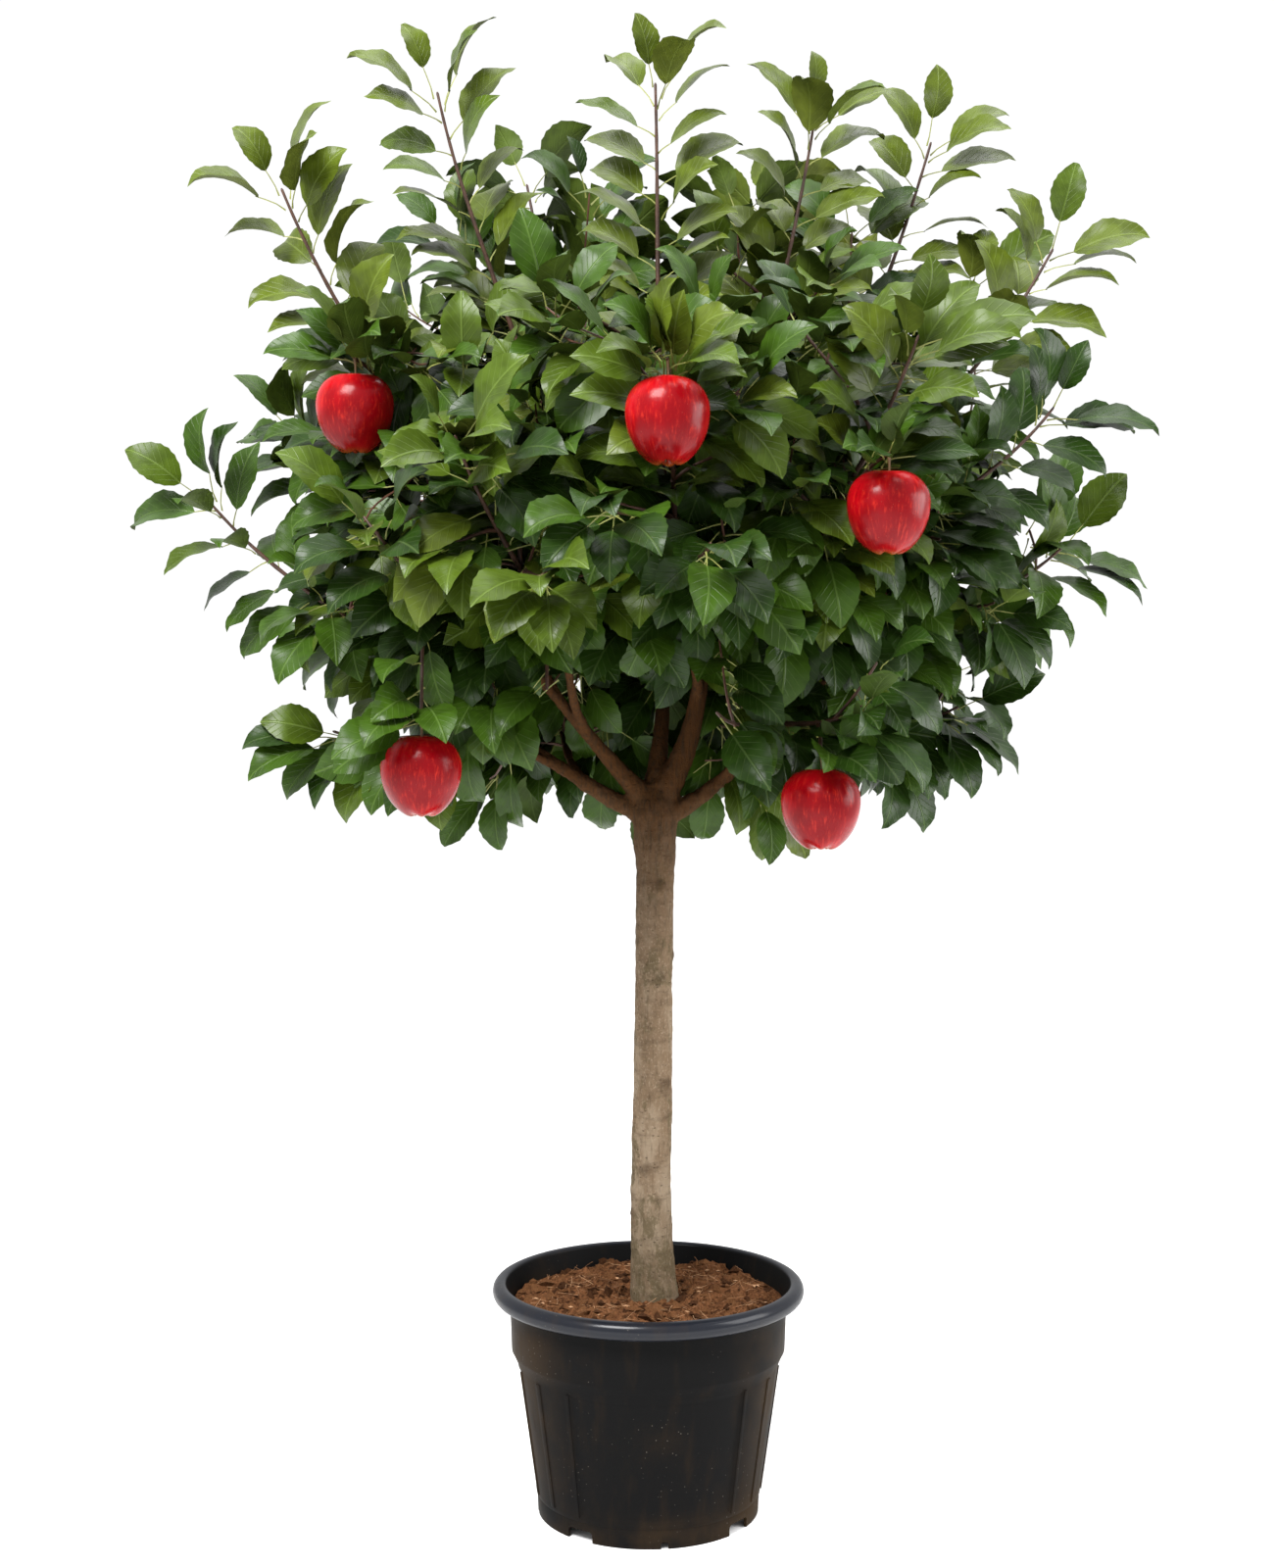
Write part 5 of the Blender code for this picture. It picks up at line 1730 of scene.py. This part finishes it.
@dataclass
class Foliage:
    """Leaves at their real size on every shoot, and the twigs that carry them."""

    crown: Crown
    blade: tuple = (0.058, 0.076)
    slimness: float = 0.57
    stalk: tuple = (0.017, 0.026)
    lift: tuple = (0.30, 0.60)
    arch: tuple = (0.70, 1.30)
    fold: tuple = (0.04, 0.36)
    wave: tuple = (0.1, 0.5)
    roll: float = 0.20
    limp: tuple = (0.45, 1.10)
    hanging_height: float = 0.82
    upright_height: float = 1.34
    sag_power: float = 2.6
    crown_reach: float = 0.33
    facing: float = 0.60
    back_from: float = 0.10
    first_leaf: float = 0.012
    bare_tip: float = 0.016
    rosette_step: float = 0.0045
    whip_scatter: float = 0.50
    whip_tip_scatter: float = 0.45
    spread_margin: float = -0.034
    limb_margin: float = 0.0015
    apple_margin: float = 0.0025
    space: float = 0.0205
    cell: float = 0.03
    tries: int = 5
    twig_step: float = 0.012
    node_swell: tuple = (0.97, 1.12)
    # The darker tints, which go mostly to sprays low and inside the crown, stand partly for older leaves and
    # partly for painted shade; the paler ones, mostly at the top and outside, partly for younger leaves and
    # partly for painted light.
    tints: tuple = (
        LeafTint("deep", display(27, 46, 9), display(44, 60, 14), 0.34),
        LeafTint("mid", display(42, 64, 12), display(56, 71, 17), 0.34),
        LeafTint("fresh", display(56, 72, 15), display(66, 78, 20), 0.20),
        LeafTint("young", display(65, 77, 18), display(76, 85, 24), 0.12),
    )
    seed: int = 500

    def build(self) -> None:
        """Leaf the main shoots and spurs first, then the rest, and hand in every mass."""
        self.form = LeafForm()
        self.tint_bounds = np.cumsum([tint.share for tint in self.tints])
        self.centres: dict[tuple[int, int, int], list[Vector]] = {}
        leaf_finishes = [side for tint in self.tints for side in tint.make()]
        leaf_finishes.append(PlainFinish("leaf_stalk", display(122, 126, 62), 0.6).make())
        twig_finishes = [TwigFinish("older_twig", display(66, 42, 30)).make(),
                         TwigFinish("young_twig", display(80, 50, 36)).make(),
                         PlainFinish("apple_stalk", display(96, 70, 38), 0.6).make()]
        masses = self.crown.masses
        leaves = {name: Batch() for name in masses}
        dice = {name: Dice(self.seed + index) for index, name in enumerate(masses)}
        total = 0
        for leading in (True, False):
            for name, shoots in masses.items():
                chosen = [s for s in shoots if (s is shoots[0] or s.apple is not None) is leading]
                total += sum(self.leaf_shoot(name, shoot, dice[name], leaves[name]) for shoot in chosen)
        for name, shoots in masses.items():
            twigs = Batch()
            for shoot in shoots:
                self.add_twig(shoot, twigs)
            hand_in(leaves[name].make("leaves_" + name, leaf_finishes, 75.0), Slot.FOLIAGE, ["mass_" + name])
            hand_in(twigs.make("twigs_" + name, twig_finishes, 60.0), Slot.BARK, ["mass_" + name])
        log.info("%d leaves on %d shoots", total, sum(len(shoots) for shoots in masses.values()))

    def add_twig(self, shoot: Shoot, batch: Batch) -> None:
        """Add a shoot's wood, a little swollen at its leaf nodes, and its apple's stalk."""
        path = shoot.path(self.twig_step)
        last = len(path) - 1
        radii = [shoot.radius_at(shoot.reach * index / last) * self.node_swell[index % 2]
                 for index in range(last + 1)]
        first = path[0] - (path[1] - path[0]).normalized() * 0.003
        path.insert(0, first)
        radii.insert(0, radii[0])
        path.append(path[-1] + (path[-1] - path[-2]).normalized() * 0.002)
        radii.append(radii[-1] * 0.5)
        sides = 5 if shoot.fine else 7
        faces = Shape(tube_faces(len(path), sides), [(0, 0)] * (len(path) * sides))
        batch.add(tube_corners(path, radii, sides), faces, 1 if shoot.fine else 0)
        if shoot.apple:
            top, end = shoot.curve.at(1.0), Vector(shoot.apple.centre) + UP * 0.024
            steps = [0.0, 0.3, 0.65, 1.0]
            bend = (top - end).orthogonal().normalized() * 0.0012
            stalk = [top.lerp(end, s) + bend * sin(pi * s) for s in steps]
            stalk[0] = top + UP * 0.002
            shape = Shape(tube_faces(4, 6), [(0, 0)] * 24)
            batch.add(tube_corners(stalk, [0.0019, 0.0012, 0.0011, 0.0014], 6), shape, 2)

    def leaf_shoot(self, name: str, shoot: Shoot, dice: Dice, batch: Batch) -> int:
        """Leaves at even steps round a shoot by the golden angle, and a rosette at its tip.

        Args:
            name: the mass.
            shoot: the shoot.
            dice: the mass's own random numbers.
            batch: the leaves' mesh.

        Returns:
            How many leaves were placed.
        """
        whole = shoot.curve.length
        length = whole * shoot.reach
        first = max(self.first_leaf, length * shoot.leafy_from)
        count = max(0, int((length - self.bare_tip - first) / shoot.spacing) + 1)
        turn = dice.uniform(0, 2 * pi)
        spray = Spray(name, shoot, dice, batch, self.spray_tint(shoot, dice))
        placed = 0
        for index in range(count):
            across = index * pi
            turn = across + dice.gauss(0.0, self.whip_scatter) if shoot.whip else turn + GOLDEN_ANGLE
            along = (first + index * shoot.spacing) / whole
            placed += self.place(spray, along, turn)
        for index in range(shoot.rosette):
            across = index * pi
            turn = across + dice.gauss(0.0, self.whip_tip_scatter) if shoot.whip else turn + GOLDEN_ANGLE
            along = (length - 0.001 - self.rosette_step * index) / whole
            placed += self.place(spray, max(0.05, along), turn, index)
        return placed

    def spray_tint(self, shoot: Shoot, dice: Dice) -> int:
        """The tint of a spray: lighter towards the top and the outside of the crown and darker inside and
        low, partly for the leaves' age and partly as painted light and shade.
        """
        offset = shoot.curve.at(shoot.reach) - self.crown.head_centre
        sides = (value / radius for value, radius in zip(offset, self.crown.head_radii))
        out = sqrt(sum(side * side for side in sides))
        lift = offset.z / self.crown.head_radii[2]
        # painted light and shade in part: the score favours paler tints at the top and outside, darker ones
        # inside and low
        score = dice.random() * 0.75 + 0.30 * max(0.0, out - 0.85) + 0.16 * max(-0.6, lift)
        return int(min(np.searchsorted(self.tint_bounds, score), len(self.tints) - 1))

    def leaf_tint(self, spray: int, shade: float) -> int:
        """A leaf's tint: its spray's, or for the few palest and darkest the next one."""
        if shade > 0.86:
            return min(spray + 1, len(self.tints) - 1)
        return max(spray - 1, 0) if shade < 0.14 else spray

    def draw(self, spray: Spray, heading: Vector, rosette: int | None) -> Leaf:
        """Draw one leaf for a place on a shoot.

        Args:
            spray: what the shoot's leaves share.
            heading: the direction of the shoot there.
            rosette: the leaf's number in the rosette at the tip, or none.

        Returns:
            The leaf.
        """
        shoot, dice = spray.shoot, spray.dice
        flat = 1.0 - heading.z
        length = dice.uniform(*self.blade)
        lift, level = dice.uniform(*self.lift), 0.10
        if not shoot.whip:
            lift, level = lift * 0.6, 0.12 if shoot.apple else 0.40
        if rosette is not None and not shoot.apple:
            leading = (0.90 if shoot.fine else 2.2, 0.22)
            lift += leading[rosette] if rosette < 2 else 0.10
            length *= (0.94 if shoot.fine else 1.08) if rosette < 2 else 1.0
        outwards = 0.38 if shoot.fine else 0.60
        if shoot.whip:
            length *= 0.72 + 0.50 * flat if rosette == 0 else 1.08
            lift += 0.8 + 1.2 * flat if rosette == 0 else 0.0
            lift += 0.60 * flat
            level += 0.25 * flat
            outwards = 0.12
        stalk = dice.uniform(*self.stalk) * (1.15 if rosette is not None else 0.85)
        arch, fold = dice.uniform(*self.arch), dice.uniform(*self.fold)
        wave, phase = dice.uniform(*self.wave), dice.uniform(0.0, 6.28)
        roll, shade, limp = dice.gauss(0.0, self.roll), dice.random(), dice.uniform(*self.limp)
        return Leaf(length, stalk, lift, level, outwards, arch, fold, wave, phase, roll, shade, limp)

    def lay(self, shoot: Shoot, root: Vector, heading: Vector, angle: float, stiffness: float,
            leaf: Leaf) -> tuple[Vector, Vector]:
        """The direction of a leaf and of its upper side.

        High leaves stand off their twig, lower ones hang more, and all turn their upper side to the light.

        Args:
            shoot, root, heading: the shoot, the leaf's foot, and the shoot's direction there.
            angle: the leaf's turn round the shoot, in radians.
            stiffness: how much less than usual it hangs.
            leaf: the leaf.

        Returns:
            Both directions, square to each other.
        """
        side = heading.cross(Vector((0.0, 1.0, 0.0))).normalized()
        other = heading.cross(side)
        depth = (self.upright_height - root.z) / (self.upright_height - self.hanging_height)
        drop = min(1.0, max(0.0, depth)) ** self.sag_power
        outward = root - self.crown.head_centre
        outward.z *= 0.4
        inside = min(1.0, outward.length / self.crown_reach)
        outward.normalize()
        front = Vector((0.0, -1.0 if root.y < self.back_from else 1.0, 0.0))
        spread = side * cos(angle) + other * sin(angle)
        if spread.z > 0.0 and not shoot.whip:
            spread.z *= 0.45
        hang = 0.35 if shoot.apple else 1.45 - stiffness
        sink = leaf.level + hang * leaf.limp * drop * (0.55 + 0.45 * inside)
        way = (spread + heading * leaf.lift - UP * sink + outward * leaf.outwards).normalized()
        face = UP + outward * (0.3 + 0.7 * drop) + heading * 0.20
        face += front * self.facing * (1.0 + drop if drop > 0.3 or not shoot.whip else 1.5)
        face = (face - way * face.dot(way)).normalized()
        across = way.cross(face)
        return way, (face * cos(leaf.roll) + across * sin(leaf.roll)).normalized()

    def place(self, spray: Spray, along: float, turn: float, rosette: int | None = None) -> int:
        """Put one leaf at a place on a shoot, turned a little until it fits, or leave it out.

        Args:
            spray: what the shoot's leaves share.
            along: the share of the shoot's length.
            turn: the leaf's turn round the shoot, in radians.
            rosette: the leaf's number in the rosette at the tip, or none.

        Returns:
            1 where the leaf was placed, else 0.
        """
        shoot = spray.shoot
        root, heading = shoot.curve.at(along), shoot.curve.heading(along)
        leaf = self.draw(spray, heading, rosette)
        for attempt in range(self.tries):
            angle = turn + attempt * (0.30 if shoot.whip else 0.9) * (1 if attempt % 2 else -1)
            way, face = self.lay(shoot, root, heading, angle, 0.12 * attempt, leaf)
            if self.fits(spray, root, way, face, leaf):
                corners = self.form.corners(leaf, leaf.length * self.slimness * (0.92 + 0.16 * leaf.shade))
                basis = np.array([way.cross(face), way, face])
                kinds, stalk = self.form.kinds, 2 * len(self.tints)
                finish = np.where(kinds == 2, stalk, 2 * self.leaf_tint(spray.tint, leaf.shade) + kinds)
                spray.batch.add(corners @ basis + np.array(root), self.form.shape, finish)
                return 1
        return 0

    def fits(self, spray: Spray, root: Vector, way: Vector, face: Vector, leaf: Leaf) -> bool:
        """True where a leaf keeps to its mass's space and touches no limb, apple or near leaf.

        Args:
            spray: what the shoot's leaves share.
            root, way, face: the leaf's foot, its direction and that of its upper side.
            leaf: the leaf, which takes its place where it fits.

        Returns:
            True where it fits.
        """
        across = way.cross(face) * (leaf.length * self.slimness * 0.45)
        base, middle, tip = (root + way * (leaf.stalk + share * leaf.length) for share in (0.15, 0.48, 0.96))
        points = (base, middle - across, middle, middle + across, tip)
        apple = spray.shoot.apple
        if not apple and self.crown.room(spray.mass, middle) < self.spread_margin:
            return False
        if not all(self.crown.clear(point, self.limb_margin, self.apple_margin) for point in points):
            return False
        shoulder = apple.centre[2] + 0.026 if apple else inf
        if any(point.z < shoulder and self.crown.open_at(point, 0.001) for point in points):
            return False
        cell = tuple(int(value // self.cell) for value in middle)
        for step in product((-1, 0, 1), repeat=3):
            neighbour = tuple(number + change for number, change in zip(cell, step))
            if any((near - middle).length < self.space for near in self.centres.get(neighbour, ())):
                return False
        self.centres.setdefault(cell, []).append(middle)
        return True


@dataclass
class AppleFruit:
    """One apple with its stalk hollow, five soft lobes, and a dried eye."""

    number: int
    apple: Apple
    tilt: float = 6.0

    def outline(self) -> list[Pair]:
        """Radius and height from the bottom of the eye up round the cheek and into the stalk hollow."""
        eye = [(0.0016, -0.0310), (0.0050, -0.0325), (0.0080, -0.0356)]
        cheek = arc((0.0040, 0.0090), (0.0332, 0.0460), -75.0, 0.0, 7)
        shoulder = arc((0.0100, 0.0090), (0.0272, 0.0275), 15.0, 90.0, 5)
        hollow = [(0.0068, 0.0345), (0.0044, 0.0305), (0.0020, 0.0250)]
        return [*eye, *cheek, *shoulder, *hollow]

    def lobes(self, place: Vector, _: Vector) -> Vector:
        """Press five soft lobes into the base and shoulders, and lean the whole a little."""
        turn = atan2(place.y, place.x)
        low = min(1.0, max(0.0, (-place.z - 0.004) / 0.030))
        high = min(1.0, max(0.0, (place.z - 0.018) / 0.018))
        share = 1.0 + (0.050 * low + 0.022 * high) * cos(5.0 * turn + self.number)
        share += 0.018 * cos(2.0 * turn + 1.7 * self.number)
        place.x *= share
        place.y *= share
        place.z += 0.0012 * low * cos(5.0 * turn + self.number)
        return place

    def sepals(self) -> Batch:
        """Five dried flaps round the eye."""
        batch = Batch()
        shape = Shape([(0, 1, 2), (0, 2, 3), (0, 3, 1), (1, 3, 2)], [(0, 0)] * 4)
        for flap in range(5):
            turn = Matrix.Rotation(flap * 2 * pi / 5 + self.number, 3, "Z")
            points = [Vector((0.0010, -0.0013, -0.0300)), Vector((0.0010, 0.0013, -0.0300)),
                      Vector((0.0052, 0.0, -0.0352)), Vector((0.0014, 0.0, -0.0312))]
            batch.add(np.array([turn @ point for point in points]), shape, 0)
        return batch

    def build(self, eye_finish: Material) -> None:
        """Model, dress and place the apple."""
        piece = turned(f"apple_{self.number}", self.outline(), 20)
        apply_modifier(piece, "SUBSURF", levels=2, render_levels=2)
        move_corners(piece, self.lobes)
        piece.data.shade_smooth()
        centre = Vector(self.apple.centre)
        dress(piece, AppleSkin(self.number, self.apple.centre).make(), eye_finish)
        eye = self.sepals().make("eye", [eye_finish], 30.0)
        dress(eye, piece.data.materials[0], eye_finish)
        for face in eye.data.polygons:
            face.material_index = 1
        joined([piece, eye])
        turn = Matrix.Rotation(radians(self.tilt) * sin(2.4 * self.number), 4, "X")
        piece.data.transform(Matrix.Translation(centre) @ turn)
        hand_in(piece, Slot.APPLE, ["mass_" + self.apple.mass])


@dataclass(frozen=True)
class Lamp:
    """A square soft light: where it hangs, the point that it faces, its side, and its power in watts."""

    name: str
    place: tuple
    aim: tuple
    size: float
    power: float

    def build(self) -> None:
        """Hang the lamp."""
        data = bpy.data.lights.new(self.name, "AREA")
        data.size = self.size
        data.energy = self.power
        lamp = linked(self.name, data)
        lamp.location = self.place
        lamp.rotation_euler = (Vector(self.aim) - Vector(self.place)).to_track_quat("-Z", "Y").to_euler()


@dataclass
class Studio:
    """A pale floor, soft light from above, and the camera of the photograph."""

    camera_place: tuple = (-0.011, -2.300, 0.888)
    pitch: float = 3.44
    lens: float = 52.06
    sensor: float = 36.0
    far: float = 60.0
    reach: float = 30.0
    paper: Colour = display(253, 253, 253)
    sky_strength: float = 1.03
    lamps: tuple = (
        Lamp("key", (-1.1, -1.9, 3.1), (0.0, 0.0, 0.9), 1.4, 230.0),
        Lamp("top", (0.5, 0.3, 3.4), (0.0, 0.0, 0.9), 2.2, 60.0),
        Lamp("fill", (1.5, -0.3, 1.0), (0.3, 0.0, 0.0), 1.0, 26.0),
    )

    def floor(self) -> None:
        """A wide sheet of pale floor."""
        deselect()
        bpy.ops.mesh.primitive_plane_add(size=2 * self.reach)
        floor = bpy.context.object
        floor.name = "floor"
        paint = Paint("floor_paper", 0.9, Specular_IOR_Level=0.0)
        paint.colour(self.paper)
        dress(floor, paint.material)

    def build(self) -> None:
        """Set out floor, world, lights and camera."""
        self.floor()
        scene = bpy.context.scene
        scene.world = scene.world or bpy.data.worlds.new("studio")
        scene.world.use_nodes = True
        sky = scene.world.node_tree.nodes["Background"]
        sky.inputs["Color"].default_value = (1.0, 1.0, 1.0, 1.0)
        sky.inputs["Strength"].default_value = self.sky_strength
        for lamp in self.lamps:
            lamp.build()
        data = bpy.data.cameras.new("camera")
        data.lens = self.lens
        data.sensor_width = self.sensor
        data.clip_end = self.far
        camera = linked("camera", data)
        camera.location = self.camera_place
        camera.rotation_euler = (radians(90.0 - self.pitch), 0.0, 0.0)
        scene.camera = camera
        scene.view_settings.view_transform = "Standard"


def main() -> None:
    """Build the tree piece by piece, then its studio, and note the sizes."""
    logging.basicConfig(level=logging.INFO, format="%(message)s")
    PotShell().build()
    CompostBed().build()
    wood = Wood()
    wood.build()
    crown = Crown(wood)
    crown.grow()
    Foliage(crown).build()
    eye = PlainFinish("apple_eye", display(74, 56, 34), 0.85).make()
    for number, apple in enumerate(APPLES):
        AppleFruit(number + 1, apple).build(eye)
    Studio().build()
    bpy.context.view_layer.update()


if __name__ == "__main__":
    main()
